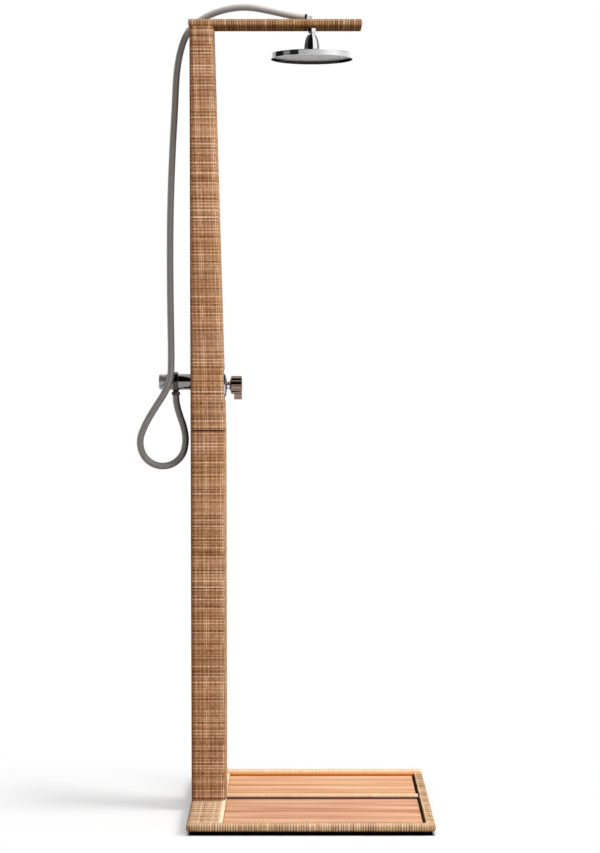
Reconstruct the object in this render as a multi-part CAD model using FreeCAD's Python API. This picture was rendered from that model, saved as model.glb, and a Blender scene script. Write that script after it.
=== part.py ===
import FreeCAD, Part
import math
import os

# Outdoor shower post: a cane-wrapped post and arm on a cane-wrapped tray with two lift-out duckboards,
# a tap through the post, and a hose from the tap over the arm to an overhead shower head on a ball joint.
# X runs along the arm, Y away from the user, Z up. The origin is the centre of the tray on the floor.
# All lengths are in millimetres.

Vector = FreeCAD.Vector

# ---- tray
tray_width = 700.0
tray_depth = 700.0
pad_height = 6.0
pad_radius = 22.0
pad_inset = 48.0
plate_thickness = 6.0
plate_setback = 8.0
plate_corner_radius = 12.0
drain_radius = 7.0
drain_columns = 4
drain_rows = 2
rail_height = 20.0
left_rail_width = 101.5
right_rail_width = 30.0
front_rail_width = 30.0
back_rail_width = 62.0
divider_width = 32.0
divider_offset = 8.0
rail_top_radius = 7.0
rail_foot_radius = 3.0
rail_corner_radius = 9.0
weave_thickness = 2.5
rail_screw_radius = 2.5
rail_screw_length = 18.0
rail_screw_head_radius = 5.0
rail_screw_head_height = 2.8
rail_screw_spacing = 165.0

# ---- duckboards
slats_per_board = 4
slat_thickness = 8.0
slat_gap = 1.5
slat_edge_radius = 1.2
board_gap_left = 1.0
board_gap_right = 4.0
board_gap_front = 1.5
board_gap_back = 3.5
runner_height = 3.5
runner_width = 28.0
runner_inset = 60.0
runners_per_board = 3
board_screw_sink = 0.3
board_screw_radius = 1.6
board_screw_length = 8.0
board_screw_head_radius = 3.0
board_screw_head_height = 1.6

# ---- post
post_width = 101.5
post_depth = 130.0
post_top_width = 69.5
post_edge_radius = 7.0
post_top_edge_radius = 12.0
core_wall = 3.0
seam_height = 1120.0
seam_gap = 1.6
seam_chamfer = 1.0
post_weave_drop = 5.0
foot_plate_thickness = 6.0
foot_bolt_radius = 4.0
foot_bolt_length = 31.0
foot_bolt_head_radius = 7.6
foot_bolt_head_height = 4.0
foot_bolt_margin = 18.0
drip_hole_radius = 6.0
spigot_wall = 3.0
spigot_half_length = 90.0
spigot_clearance = 0.3
spigot_taper_room = 4.0
spigot_bolt_radius = 3.0
spigot_bolt_length = 9.0
spigot_bolt_head_radius = 5.0
spigot_bolt_head_height = 1.8
spigot_bolt_drop = 45.0

# ---- arm
arm_underside_height = 2286.5
arm_length = 502.0
arm_overhang = 3.0
arm_thickness = 20.0
arm_edge_radius = 5.0
arm_plate_thickness = 5.0
arm_bolt_radius = 3.0
arm_bolt_length = 16.0
arm_bolt_head_radius = 5.0
arm_bolt_head_height = 3.0
arm_bolt_spacing_x = 34.0
arm_bolt_spacing_y = 76.0

# ---- water inlet and supply
inlet_height = 110.0
inlet_thread_radius = 10.48
inlet_thread_length = 15.0
inlet_relief_length = 1.5
inlet_relief_depth = 0.6
inlet_nut_radius = 17.0
inlet_nut_height = 5.0
inlet_bore_radius = 7.0
inlet_body_radius = 13.0
inlet_rise = 34.0
supply_pipe_radius = 7.5
supply_pipe_wall = 1.2
supply_from_left = 50.0
pipe_socket_depth = 14.0
pipe_stop_wall = 1.0
valve_boss_length = 8.0
joint_clearance = 0.05

# ---- tap
tap_above_seam = 130.0
valve_radius = 21.0
valve_wall_gap = 2.0
valve_port_length = 14.0
cartridge_radius = 15.0
cartridge_length = 38.0
cartridge_port_radius = 5.0
cartridge_port_inset = 8.0
valve_port_wall = 5.0
valve_port_floor = 3.0
spindle_radius = 4.0
spindle_tail = 20.0
sleeve_radius = 12.5
sleeve_thread_radius = 16.0
sleeve_outer_length = 14.0
wall_hole_clearance = 0.6
rosette_radius = 44.0
rosette_height = 9.0
rosette_rim = 2.5
rosette_shell = 2.0
rosette_crown_radius = 17.0
knob_radius = 27.0
knob_length = 31.0
knob_cone_length = 5.5
knob_gap = 0.6
knob_flutes = 14
knob_flute_radius = 3.4
knob_flute_depth = 1.8
knob_edge = 1.2
knob_lug_length = 23.0
knob_lug_width = 15.0
knob_lug_drop = 15.0
knob_lug_edge = 2.0
knob_recess_radius = 19.0
knob_recess_depth = 2.0
knob_end_wall = 4.0

# ---- outlet bar
bar_rise = 9.5
bar_radius = 23.7
bar_length = 71.0
bar_bore_radius = 8.0
bar_spigot_radius = 13.0
end_cap_radius = 22.4
end_cap_length = 23.0
end_cap_edge = 2.5
end_cap_thread_radius = 18.0
end_cap_thread_length = 10.0
end_cap_groove = 1.0
collar_radius = 29.5
collar_width = 15.0
collar_edge = 1.5
outlet_from_post = 45.0
nipple_radius = 9.0
nipple_length = 7.0
nipple_bore_radius = 4.5
hose_nut_radius = 13.0
hose_nut_edge = 1.5
hose_nut_height = 9.0

# ---- hose
hose_radius = 10.0
elbow_rise_angle = 8.0
ferrule_radius = 10.8
ferrule_length = 6.0

# ---- overhead fittings
stem_from_arm_end = 145.5
stem_radius = 8.0
stem_bore_radius = 5.0
stem_stub = 7.0
elbow_radius = 8.5
elbow_height = 9.0
elbow_outlet_length = 14.5
elbow_foot_radius = 11.0
elbow_foot_height = 4.0
neck_nut_radius = 13.0
neck_nut_height = 10.0
neck_nut_sides = 6
ball_collar_radius = 10.5
ball_collar_height = 4.5
ball_collar_edge = 1.2
ball_shank_radius = 6.5
ball_radius = 11.0
ball_drop = 36.5
ball_bore_radius = 4.0
ball_flat = 1.0
ball_running_gap = 0.05
liner_wall = 4.0
liner_above = 7.0
liner_below = 8.0
seat_above = 10.0
seat_below = 10.0
bell_radius = 23.3
bell_wall = 2.5
bell_dome_height = 47.0
bell_dome_drop = 57.5
bell_mouth_radius = 13.0
head_radius = 120.0
head_rim_height = 16.0
head_wall = 1.6
head_edge_radius = 2.4
head_hole_radius = 9.0
head_top_drop = 73.0
face_plate_thickness = 2.0
face_plate_recess = 9.5
face_plate_clearance = 0.1
nozzle_radius = 1.5
nozzle_stem_radius = 1.1
nozzle_bore_radius = 0.5
nozzle_drop = 1.5
nozzle_rings = 5
nozzle_ring_step = 20.0
nozzles_per_ring_step = 6
nozzle_clearance = 0.05

# ---- worked out from the sizes above
left = -tray_width / 2
right = tray_width / 2
front = -tray_depth / 2
back = tray_depth / 2
plate_bottom = pad_height
plate_top = plate_bottom + plate_thickness
rail_bottom = plate_top
rail_top = rail_bottom + rail_height
left_rail_inner = left + left_rail_width
right_rail_inner = right - right_rail_width
front_rail_inner = front + front_rail_width
back_rail_inner = back - back_rail_width
divider_front = divider_offset - divider_width / 2
divider_back = divider_offset + divider_width / 2
post_left = left
post_bottom = rail_top
post_top = arm_underside_height
lower_top = seam_height - seam_gap / 2
upper_bottom = seam_height + seam_gap / 2
core_depth = post_depth - 2 * weave_thickness
supply_x = post_left + supply_from_left
arm_left = post_left - arm_overhang
arm_right = arm_left + arm_length
arm_bottom = arm_underside_height
arm_top = arm_bottom + arm_thickness
stem_x = arm_right - stem_from_arm_end
tap_height = seam_height + tap_above_seam
bar_height = tap_height + bar_rise
outlet_x = post_left - outlet_from_post
ball_height = arm_bottom - ball_drop
dome_height = arm_bottom - bell_dome_drop
head_top = arm_bottom - head_top_drop
head_bottom = head_top - head_rim_height
face_bottom = head_bottom + face_plate_recess
face_top = face_bottom + face_plate_thickness

nodes = {}


def keep(name, shape):
    """Store one named piece."""
    nodes[name] = shape.removeSplitter() if len(shape.Solids) == 1 else shape


# ---- building blocks
def block(x0, x1, y0, y1, z0, z1):
    return Part.makeBox(x1 - x0, y1 - y0, z1 - z0, Vector(x0, y0, z0))


def rod(radius, start, end):
    """Cylinder between two points."""
    run = Vector(*end) - Vector(*start)
    return Part.makeCylinder(radius, run.Length, Vector(*start), run)


def tube(radius, bore, start, end):
    return rod(radius, start, end).cut(rod(bore, start, end))


def union(shapes):
    first, rest = shapes[0], shapes[1:]
    return first.multiFuse(rest) if rest else first


def drill(shape, tools):
    return shape.cut(tools) if tools else shape


def edges_along(shape, axis, test):
    """Straight edges parallel to an axis whose middle passes the test."""
    chosen = []
    for edge in shape.Edges:
        span = edge.Vertexes[-1].Point - edge.Vertexes[0].Point
        across = [abs(span[i]) for i in range(3) if i != axis]
        if abs(span[axis]) > 1.0 and max(across) < 1e-6 and test(edge.CenterOfMass):
            chosen.append(edge)
    return chosen


def edges_at_height(shape, height):
    """Every edge that lies flat at one height."""
    tolerance = 1e-6
    return [e for e in shape.Edges if abs(e.BoundBox.ZMin - height) < tolerance
            and abs(e.BoundBox.ZMax - height) < tolerance]


def rounded_outline(x0, x1, y0, y1, z, radius):
    """Closed wire of a rectangle with round corners, level at height z."""
    corners = [(x1, y1, 0), (x0, y1, 90), (x0, y0, 180), (x1, y0, 270)]
    edges = []
    last = None
    first = None
    for x, y, start in corners:
        cx = x - math.copysign(radius, x - (x0 + x1) / 2)
        cy = y - math.copysign(radius, y - (y0 + y1) / 2)
        arc_points = []
        for turn in (start, start + 45, start + 90):
            angle = math.radians(turn)
            arc_points.append(Vector(cx + radius * math.cos(angle), cy + radius * math.sin(angle), z))
        if last is not None:
            edges.append(Part.LineSegment(last, arc_points[0]).toShape())
        else:
            first = arc_points[0]
        edges.append(Part.Arc(*arc_points).toShape())
        last = arc_points[2]
    edges.append(Part.LineSegment(last, first).toShape())
    return Part.Wire(edges)


def upright_prism(x0, x1, y0, y1, z0, z1, radius):
    outline = rounded_outline(x0, x1, y0, y1, z0, radius)
    return Part.Face(outline).extrude(Vector(0, 0, z1 - z0))


def turned(profile, centre, axis):
    """Solid of revolution from (radius, distance along the axis) points, about an axis through centre."""
    points = [Vector(r, 0, d) for r, d in profile]
    wire = Part.makePolygon(points + [points[0]])
    solid = Part.Face(wire).revolve(Vector(0, 0, 0), Vector(0, 0, 1), 360)
    solid.rotate(Vector(0, 0, 0), FreeCAD.Rotation(Vector(0, 0, 1), Vector(*axis)).Axis,
                 math.degrees(FreeCAD.Rotation(Vector(0, 0, 1), Vector(*axis)).Angle))
    solid.translate(Vector(*centre))
    return solid


def round_edges(shape, radius, edges):
    return shape.makeFillet(radius, edges) if edges else shape


def countersunk(x, y, z, radius, length, head_radius, head_height):
    """Countersunk screw pointing up, its flat head's face at height z."""
    head = Part.makeCone(head_radius, radius, head_height, Vector(x, y, z))
    shank = rod(radius, (x, y, z), (x, y, z + length))
    drive = Part.makeCylinder(head_radius * 0.4, head_height * 0.6, Vector(x, y, z))
    return head.fuse(shank).cut(drive)


def countersunk_hole(x, y, z, radius, length, head_radius, head_height):
    clear = joint_clearance
    head = Part.makeCone(head_radius + clear, radius + clear, head_height, Vector(x, y, z))
    return head.fuse(rod(radius + clear, (x, y, z - clear), (x, y, z + length + clear)))


# ---- rails: a timber core inside a woven cane sleeve
def rail_form(x0, x1, y0, y1, z0, z1, run, top_radius, foot_radius, corner_radius):
    """Bar with rounded long edges; run is 0 along X or 1 along Y. Free ends get round corners too."""
    solid = block(x0, x1, y0, y1, z0, z1)
    if corner_radius:
        solid = round_edges(solid, corner_radius, edges_along(solid, 2, lambda p: True))
        solid = round_edges(solid, top_radius, edges_at_height(solid, z1))
        return round_edges(solid, foot_radius, edges_at_height(solid, z0))
    middle = (z0 + z1) / 2
    solid = round_edges(solid, top_radius, edges_along(solid, run, lambda p: p.z > middle))
    return round_edges(solid, foot_radius, edges_along(solid, run, lambda p: p.z < middle))


def rail_pair(x0, x1, y0, y1, run, free_ends):
    """Outer woven form and the core that fills it."""
    t = weave_thickness
    corner = rail_corner_radius if free_ends else 0
    outer = rail_form(x0, x1, y0, y1, rail_bottom, rail_top, run, rail_top_radius, rail_foot_radius, corner)
    inset_x = 0 if run == 0 and not free_ends else t
    inset_y = 0 if run == 1 and not free_ends else t
    core = rail_form(x0 + inset_x, x1 - inset_x, y0 + inset_y, y1 - inset_y, rail_bottom + t, rail_top - t,
                     run, rail_top_radius - t, rail_foot_radius - t, corner - t if corner else 0)
    return outer.cut(core), core


def screw_row(x0, x1, y0, y1):
    """Evenly spaced screw places along the middle of a rail."""
    along_x = x1 - x0 > y1 - y0
    length = max(x1 - x0, y1 - y0)
    count = max(2, int(length / rail_screw_spacing) + 1)
    places = []
    for i in range(count):
        share = (i + 0.5) / count
        x = x0 + share * (x1 - x0) if along_x else (x0 + x1) / 2
        y = (y0 + y1) / 2 if along_x else y0 + share * (y1 - y0)
        places.append((x, y))
    return places


rails = {
    "front_rail": (left, right, front, front_rail_inner, 0, True),
    "back_rail": (left, right, back_rail_inner, back, 0, True),
    "left_rail": (left, left_rail_inner, front_rail_inner, back_rail_inner, 1, False),
    "right_rail": (right_rail_inner, right, front_rail_inner, back_rail_inner, 1, False),
    "divider": (left_rail_inner, right_rail_inner, divider_front, divider_back, 0, False),
}


def rail_screw_places():
    places = []
    for name, (x0, x1, y0, y1, run, free_ends) in rails.items():
        for x, y in screw_row(x0, x1, y0, y1):
            under_post = name == "left_rail" and abs(y) < post_depth / 2
            if not under_post:
                places.append((x, y))
    return places


def rail_screw_holes():
    return [countersunk_hole(x, y, plate_bottom, rail_screw_radius, rail_screw_length,
                             rail_screw_head_radius, rail_screw_head_height)
            for x, y in rail_screw_places()]


def foot_bolt_holes():
    return [countersunk_hole(x, y, plate_bottom, foot_bolt_radius, foot_bolt_length,
                             foot_bolt_head_radius, foot_bolt_head_height)
            for x, y in foot_bolt_places()]


def build_rails():
    holes = rail_screw_holes() + foot_bolt_holes()
    for name, (x0, x1, y0, y1, run, free_ends) in rails.items():
        weave, core = rail_pair(x0, x1, y0, y1, run, free_ends)
        keep(f"{name}_weave", drill(weave, holes))
        keep(f"{name}_core", drill(core, holes))


def build_base_plate():
    s = plate_setback
    plate = upright_prism(left + s, right - s, front + s, back - s, plate_bottom, plate_top,
                          plate_corner_radius)
    drains = [rod(drain_radius, (x, y, plate_bottom), (x, y, plate_top)) for x, y in drain_places()]
    keep("base_plate", drill(plate, rail_screw_holes() + foot_bolt_holes() + drains))


def drain_places():
    """Drain holes under each duckboard, between its runners."""
    places = []
    for y0, y1 in board_spans():
        for i in range(drain_columns):
            x = board_x0 + (i + 0.5) * (board_x1 - board_x0) / drain_columns
            for j in range(drain_rows):
                places.append((x, y0 + (j + 0.5) * (y1 - y0) / drain_rows))
    return places


def build_pads():
    """Rubber feet at the corners, the middles of the sides and the centre."""
    reach_x = tray_width / 2 - plate_setback - pad_inset
    reach_y = tray_depth / 2 - plate_setback - pad_inset
    pads = []
    for i in (-1, 0, 1):
        for j in (-1, 0, 1):
            x, y = i * reach_x, j * reach_y
            pads.append(rod(pad_radius, (x, y, 0), (x, y, pad_height)))
    heads = [rod(rail_screw_head_radius, (x, y, 0), (x, y, pad_height)) for x, y in rail_screw_places()]
    heads += [rod(foot_bolt_head_radius, (x, y, 0), (x, y, pad_height)) for x, y in foot_bolt_places()]
    keep("base_pads", Part.makeCompound([pad.cut(heads) for pad in pads]))


def build_rail_screws():
    keep("rail_screws", Part.makeCompound([
        countersunk(x, y, plate_bottom, rail_screw_radius, rail_screw_length,
                    rail_screw_head_radius, rail_screw_head_height)
        for x, y in rail_screw_places()]))


# ---- duckboards
board_x0 = left_rail_inner + board_gap_left
board_x1 = right_rail_inner - board_gap_right
board_bottom = plate_top + runner_height
board_top = board_bottom + slat_thickness


def board_spans():
    return [(front_rail_inner + board_gap_front, divider_front - board_gap_back),
            (divider_back + board_gap_front, back_rail_inner - board_gap_back)]


def runner_places():
    span = board_x1 - board_x0 - 2 * runner_inset
    return [board_x0 + runner_inset + i * span / (runners_per_board - 1) for i in range(runners_per_board)]


def build_board(name, y0, y1):
    """Slats lying along X, joined from below by rubber runners and short screws."""
    width = (y1 - y0 - (slats_per_board - 1) * slat_gap) / slats_per_board
    screws = []
    holes = []
    for i in range(slats_per_board):
        middle = y0 + i * (width + slat_gap) + width / 2
        for x in runner_places():
            screw = (x, middle, plate_top + board_screw_sink, board_screw_radius, board_screw_length,
                     board_screw_head_radius, board_screw_head_height)
            screws.append(countersunk(*screw))
            holes.append(countersunk_hole(*screw))
            holes.append(rod(board_screw_head_radius, (x, middle, plate_top),
                             (x, middle, plate_top + board_screw_sink)))
    for i in range(slats_per_board):
        low = y0 + i * (width + slat_gap)
        slat = block(board_x0, board_x1, low, low + width, board_bottom, board_top)
        slat = round_edges(slat, slat_edge_radius, edges_along(slat, 0, lambda p: p.z > board_bottom + 1.0))
        keep(f"{name}_slat_{i + 1}", drill(slat, holes))
    half = runner_width / 2
    keep(f"{name}_board_runners", Part.makeCompound([
        drill(block(x - half, x + half, y0, y1, plate_top, board_bottom), holes) for x in runner_places()]))
    keep(f"{name}_board_screws", Part.makeCompound(screws))


# ---- post
def post_width_at(z):
    """Outer width of the post: even up to the seam, then narrowing on its right side."""
    share = max(0.0, (z - seam_height) / (post_top - seam_height))
    return post_width + share * (post_top_width - post_width)


def edge_radius_at(z):
    share = max(0.0, (z - seam_height) / (post_top - seam_height))
    return post_edge_radius + share * (post_top_edge_radius - post_edge_radius)


def post_core_box(z):
    t = weave_thickness
    return post_left + t, post_left + post_width_at(z) - t, -core_depth / 2, core_depth / 2


def post_section(z, inset):
    """Outline of the post at one height, moved in from its woven face."""
    radius = max(edge_radius_at(z) - inset, 1.0)
    half = post_depth / 2 - inset
    return rounded_outline(post_left + inset, post_left + post_width_at(z) - inset, -half, half, z, radius)


def post_form(z0, z1, inset):
    """Solid post between two heights on one side of the seam."""
    return Part.makeLoft([post_section(z0, inset), post_section(z1, inset)], True, True)


def foot_bolt_places():
    x0, x1, y0, y1 = post_core_box(post_bottom)
    m = foot_bolt_margin
    return [(x, y) for x in (x0 + m, x1 - m) for y in (y0 + m, y1 - m)]


def spigot_box():
    c = core_wall + spigot_clearance
    x0, x1, y0, y1 = post_core_box(seam_height)
    return x0 + c, x1 - c - spigot_taper_room, y0 + c, y1 - c


def spigot_bolt_starts():
    """Places on the core's front and back walls, above and below the seam."""
    sx0, sx1, sy0, sy1 = spigot_box()
    middle = (sx0 + sx1) / 2
    starts = []
    for side in (-1, 1):
        for z in (seam_height - spigot_bolt_drop, seam_height + spigot_bolt_drop):
            starts.append((middle, side * core_depth / 2, z, side))
    return starts


def spigot_bolt(x, y, z, side, grow):
    """Countersunk bolt through the core's wall into the spigot; grow makes its hole."""
    head = Part.makeCone(spigot_bolt_head_radius + grow, spigot_bolt_radius + grow,
                         spigot_bolt_head_height, Vector(x, y, z), Vector(0, -side, 0))
    end = y - side * (spigot_bolt_length + grow)
    return head.fuse(rod(spigot_bolt_radius + grow, (x, y, z), (x, end, z)))


def seam_bevel(z0, inset0, z1, inset1):
    """Ring that bevels the woven edge beside the seam."""
    kept = Part.makeLoft([post_section(z0, inset0), post_section(z1, inset1)], True, True)
    return post_form(z0, z1, -seam_chamfer).cut(kept)


def build_post_lower():
    """Woven lower post over a steel tube whose welded foot plate stands on the left rail."""
    t = weave_thickness
    bolts = [spigot_bolt(*p, joint_clearance) for p in spigot_bolt_starts()]
    weave = post_form(post_bottom - post_weave_drop, lower_top, 0)
    weave = weave.cut([post_form(post_bottom - post_weave_drop, lower_top, t),
                       rail_form(*rails["left_rail"][:4], rail_bottom, rail_top, 1,
                                 rail_top_radius, rail_foot_radius, 0)])
    inlet_hole = rod(inlet_thread_radius + wall_hole_clearance, (supply_x, 0, inlet_height),
                     (supply_x, post_depth, inlet_height))
    bevel = seam_bevel(lower_top - seam_chamfer, 0, lower_top, seam_chamfer)
    keep("post_lower_weave", drill(weave, [bevel, inlet_hole]))
    tube_wall = post_form(post_bottom, lower_top, t)
    tube_wall = tube_wall.cut(post_form(post_bottom + foot_plate_thickness, lower_top, t + core_wall))
    drip = rod(drip_hole_radius, (supply_x, 0, post_bottom),
               (supply_x, 0, post_bottom + foot_plate_thickness))
    keep("post_lower_core", drill(tube_wall, bolts + foot_bolt_holes() + [inlet_hole, drip]))


def build_foot_bolts():
    keep("foot_bolts", Part.makeCompound([
        countersunk(x, y, plate_bottom, foot_bolt_radius, foot_bolt_length,
                    foot_bolt_head_radius, foot_bolt_head_height)
        for x, y in foot_bolt_places()]))


def build_spigot():
    x0, x1, y0, y1 = spigot_box()
    z0 = seam_height - spigot_half_length
    z1 = seam_height + spigot_half_length
    w = spigot_wall
    outer = upright_prism(x0, x1, y0, y1, z0, z1, w + 1.0)
    inner = upright_prism(x0 + w, x1 - w, y0 + w, y1 - w, z0, z1, 1.0)
    bolts = [spigot_bolt(*p, joint_clearance) for p in spigot_bolt_starts()]
    keep("joining_spigot", drill(outer.cut(inner), bolts))
    keep("spigot_bolts", Part.makeCompound([spigot_bolt(*p, 0) for p in spigot_bolt_starts()]))


def tap_holes():
    """Round holes through the post's side walls for the tap and the outlet bar."""
    middle = post_left + post_width / 2
    return [rod(sleeve_thread_radius + wall_hole_clearance, (middle, 0, tap_height), (0, 0, tap_height)),
            rod(bar_spigot_radius + wall_hole_clearance, (middle, 0, bar_height),
                (post_left - post_width, 0, bar_height))]


def arm_bolt_places():
    middle = post_left + post_top_width / 2
    return [(middle + i * arm_bolt_spacing_x / 2, j * arm_bolt_spacing_y / 2)
            for i in (-1, 1) for j in (-1, 1)]


def build_post_upper():
    t = weave_thickness
    bolts = [spigot_bolt(*p, joint_clearance) for p in spigot_bolt_starts()]
    weave = post_form(upper_bottom, post_top, 0).cut(post_form(upper_bottom, post_top, t))
    bevel = seam_bevel(upper_bottom, seam_chamfer, upper_bottom + seam_chamfer, 0)
    keep("post_upper_weave", drill(weave, [bevel] + tap_holes()))
    plate_z = post_top - arm_plate_thickness
    shell = post_form(upper_bottom, post_top, t).cut(post_form(upper_bottom, plate_z, t + core_wall))
    bolt_holes = [rod(arm_bolt_radius + joint_clearance, (x, y, plate_z), (x, y, post_top))
                  for x, y in arm_bolt_places()]
    keep("post_upper_core", drill(shell, bolts + tap_holes() + bolt_holes))


# ---- arm
def arm_form(inset):
    half = post_depth / 2 - inset
    solid = block(arm_left + inset, arm_right - inset, -half, half, arm_bottom + inset, arm_top - inset)
    return solid.makeFillet(arm_edge_radius - inset, solid.Edges)


def arm_holes():
    c = joint_clearance
    stem = rod(stem_radius + c, (stem_x, 0, arm_bottom), (stem_x, 0, arm_top))
    bolt_tip = arm_bottom - arm_plate_thickness + arm_bolt_length
    return [stem] + [rod(arm_bolt_radius + c, (x, y, arm_bottom), (x, y, bolt_tip + c))
                     for x, y in arm_bolt_places()]


def build_arm():
    core = arm_form(weave_thickness)
    keep("arm_weave", drill(arm_form(0).cut(core), arm_holes()))
    keep("arm_core", drill(core, arm_holes()))
    bolts = []
    for x, y in arm_bolt_places():
        under = arm_bottom - arm_plate_thickness
        head = rod(arm_bolt_head_radius, (x, y, under - arm_bolt_head_height), (x, y, under))
        bolts.append(head.fuse(rod(arm_bolt_radius, (x, y, under), (x, y, under + arm_bolt_length))))
    keep("arm_bolts", Part.makeCompound(bolts))


# ---- water way inside the post
def build_inlet():
    """Elbow from the thread on the back of the post up to the supply pipe."""
    z = inlet_height
    wall_y = post_depth / 2
    inside_y = core_depth / 2 - core_wall
    relief_y = wall_y + inlet_nut_height
    thread_y = relief_y + inlet_relief_length
    end_y = thread_y + inlet_thread_length
    relief = tube(inlet_thread_radius + 1.0, inlet_thread_radius - inlet_relief_depth,
                  (supply_x, relief_y, z), (supply_x, thread_y, z))
    body = union([rod(inlet_body_radius, (supply_x, 0, z), (supply_x, inside_y, z)),
                  Part.makeSphere(inlet_body_radius, Vector(supply_x, 0, z)),
                  rod(inlet_body_radius, (supply_x, 0, z), (supply_x, 0, z + inlet_rise)),
                  rod(inlet_thread_radius, (supply_x, 0, z), (supply_x, end_y, z))])
    ways = [rod(inlet_bore_radius, (supply_x, 0, z), (supply_x, end_y, z)),
            rod(inlet_bore_radius, (supply_x, 0, z), (supply_x, 0, z + inlet_rise)),
            rod(supply_pipe_radius + joint_clearance, (supply_x, 0, z + inlet_rise - pipe_socket_depth),
                (supply_x, 0, z + inlet_rise)), relief]
    keep("inlet_elbow", body.cut(ways))
    nut = hexagon(inlet_nut_radius, inlet_nut_height, (supply_x, wall_y, z), (0, 1, 0), 6)
    keep("inlet_locknut", nut.cut(rod(inlet_thread_radius + joint_clearance, (supply_x, wall_y, z),
                                      (supply_x, wall_y + inlet_nut_height, z))))


def hexagon(radius, height, start, axis, sides):
    """Straight-sided prism with the given corner radius."""
    points = []
    for i in range(sides + 1):
        angle = 2 * math.pi * (i + 0.5) / sides
        points.append(Vector(radius * math.cos(angle), radius * math.sin(angle), 0))
    prism = Part.Face(Part.makePolygon(points)).extrude(Vector(0, 0, height))
    turn = FreeCAD.Rotation(Vector(0, 0, 1), Vector(*axis))
    prism.rotate(Vector(0, 0, 0), turn.Axis, math.degrees(turn.Angle))
    prism.translate(Vector(*start))
    return prism


def build_supply_pipe():
    z0 = inlet_height + inlet_rise - pipe_socket_depth
    keep("supply_pipe", tube(supply_pipe_radius, supply_pipe_radius - supply_pipe_wall,
                             (supply_x, 0, z0), (supply_x, 0, pipe_top)))


# ---- tap
core_inner_left = post_left + weave_thickness + core_wall
wall_right_x = post_left + post_width_at(tap_height)
core_inner_right = wall_right_x - weave_thickness - core_wall
valve_x0 = core_inner_left + valve_wall_gap
valve_x1 = core_inner_right - valve_wall_gap
rosette_front_x = wall_right_x + rosette_height
sleeve_end_x = rosette_front_x + sleeve_outer_length - rosette_height
knob_x0 = sleeve_end_x + knob_gap
knob_x1 = knob_x0 + knob_cone_length + knob_length
cartridge_x1 = valve_x1 - joint_clearance
cartridge_x0 = cartridge_x1 - cartridge_length
spigot_end_x = valve_x0 + valve_port_length - valve_port_floor
pipe_top = tap_height - cartridge_radius - pipe_stop_wall


def build_valve():
    """Valve body between the post's side walls, with the cartridge in its right end."""
    z = tap_height
    boss_z = z - valve_radius - valve_boss_length
    port_x1 = valve_x0 + valve_port_length
    body = union([rod(valve_radius, (valve_x0, 0, z), (valve_x1, 0, z)),
                  rod(bar_spigot_radius + valve_port_wall, (valve_x0, 0, bar_height),
                      (port_x1, 0, bar_height)),
                  rod(inlet_body_radius, (supply_x, 0, boss_z), (supply_x, 0, z))])
    ways = [rod(cartridge_radius + joint_clearance, (cartridge_x0, 0, z), (valve_x1, 0, z)),
            rod(bar_bore_radius, (valve_x0, 0, z), (cartridge_x0, 0, z)),
            rod(bar_spigot_radius + joint_clearance, (valve_x0, 0, bar_height),
                (spigot_end_x, 0, bar_height)),
            rod(supply_pipe_radius + joint_clearance, (supply_x, 0, boss_z), (supply_x, 0, pipe_top)),
            rod(cartridge_port_radius, (supply_x, 0, pipe_top), (supply_x, 0, z))]
    keep("valve_body", body.cut(ways))
    bore = rod(spindle_radius + joint_clearance, (cartridge_x1 - spindle_tail, 0, z), (cartridge_x1, 0, z))
    port_x = cartridge_x0 + cartridge_port_inset
    port = rod(cartridge_port_radius, (port_x, 0, z - cartridge_radius), (port_x, 0, z))
    way_out = rod(cartridge_port_radius, (cartridge_x0, 0, z), (port_x, 0, z))
    case = rod(cartridge_radius, (cartridge_x0, 0, z), (cartridge_x1, 0, z))
    keep("cartridge", case.cut([bore, port, way_out]))


def build_sleeve_and_rosette():
    """Screwed sleeve that holds the cartridge, and the domed plate on the slanting side of the post."""
    z = tap_height
    nut_face = wall_right_x - weave_thickness
    sleeve = union([rod(sleeve_thread_radius, (valve_x1, 0, z), (nut_face, 0, z)),
                    rod(sleeve_radius, (nut_face, 0, z), (sleeve_end_x, 0, z))])
    keep("cartridge_sleeve", sleeve.cut(rod(spindle_radius + joint_clearance, (valve_x1, 0, z),
                                            (sleeve_end_x, 0, z))))
    sunk = rosette_height / 2
    crown = rosette_front_x
    dome = turned([(0, 0), (rosette_radius, 0), (rosette_radius, sunk + rosette_rim),
                   (rosette_radius * 0.86, sunk + rosette_height * 0.62),
                   (rosette_radius * 0.62, sunk + rosette_height * 0.86),
                   (rosette_crown_radius, sunk + rosette_height), (0, sunk + rosette_height)],
                  (crown - rosette_height - sunk, 0, z), (1, 0, 0))
    hollow = turned([(sleeve_radius + 4.0, 0), (rosette_radius - rosette_shell, 0),
                     (rosette_radius - rosette_shell, sunk + rosette_rim - rosette_shell / 2),
                     (rosette_radius * 0.62, sunk + rosette_height * 0.86 - rosette_shell),
                     (sleeve_radius + 4.0, sunk + rosette_height - rosette_shell)],
                    (crown - rosette_height - sunk, 0, z), (1, 0, 0))
    post_side = post_form(tap_height - 2 * rosette_radius, tap_height + 2 * rosette_radius, 0)
    passage = rod(sleeve_radius + joint_clearance, (wall_right_x - rosette_height, 0, z), (crown, 0, z))
    keep("rosette", dome.cut([hollow, post_side, passage]))


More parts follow.
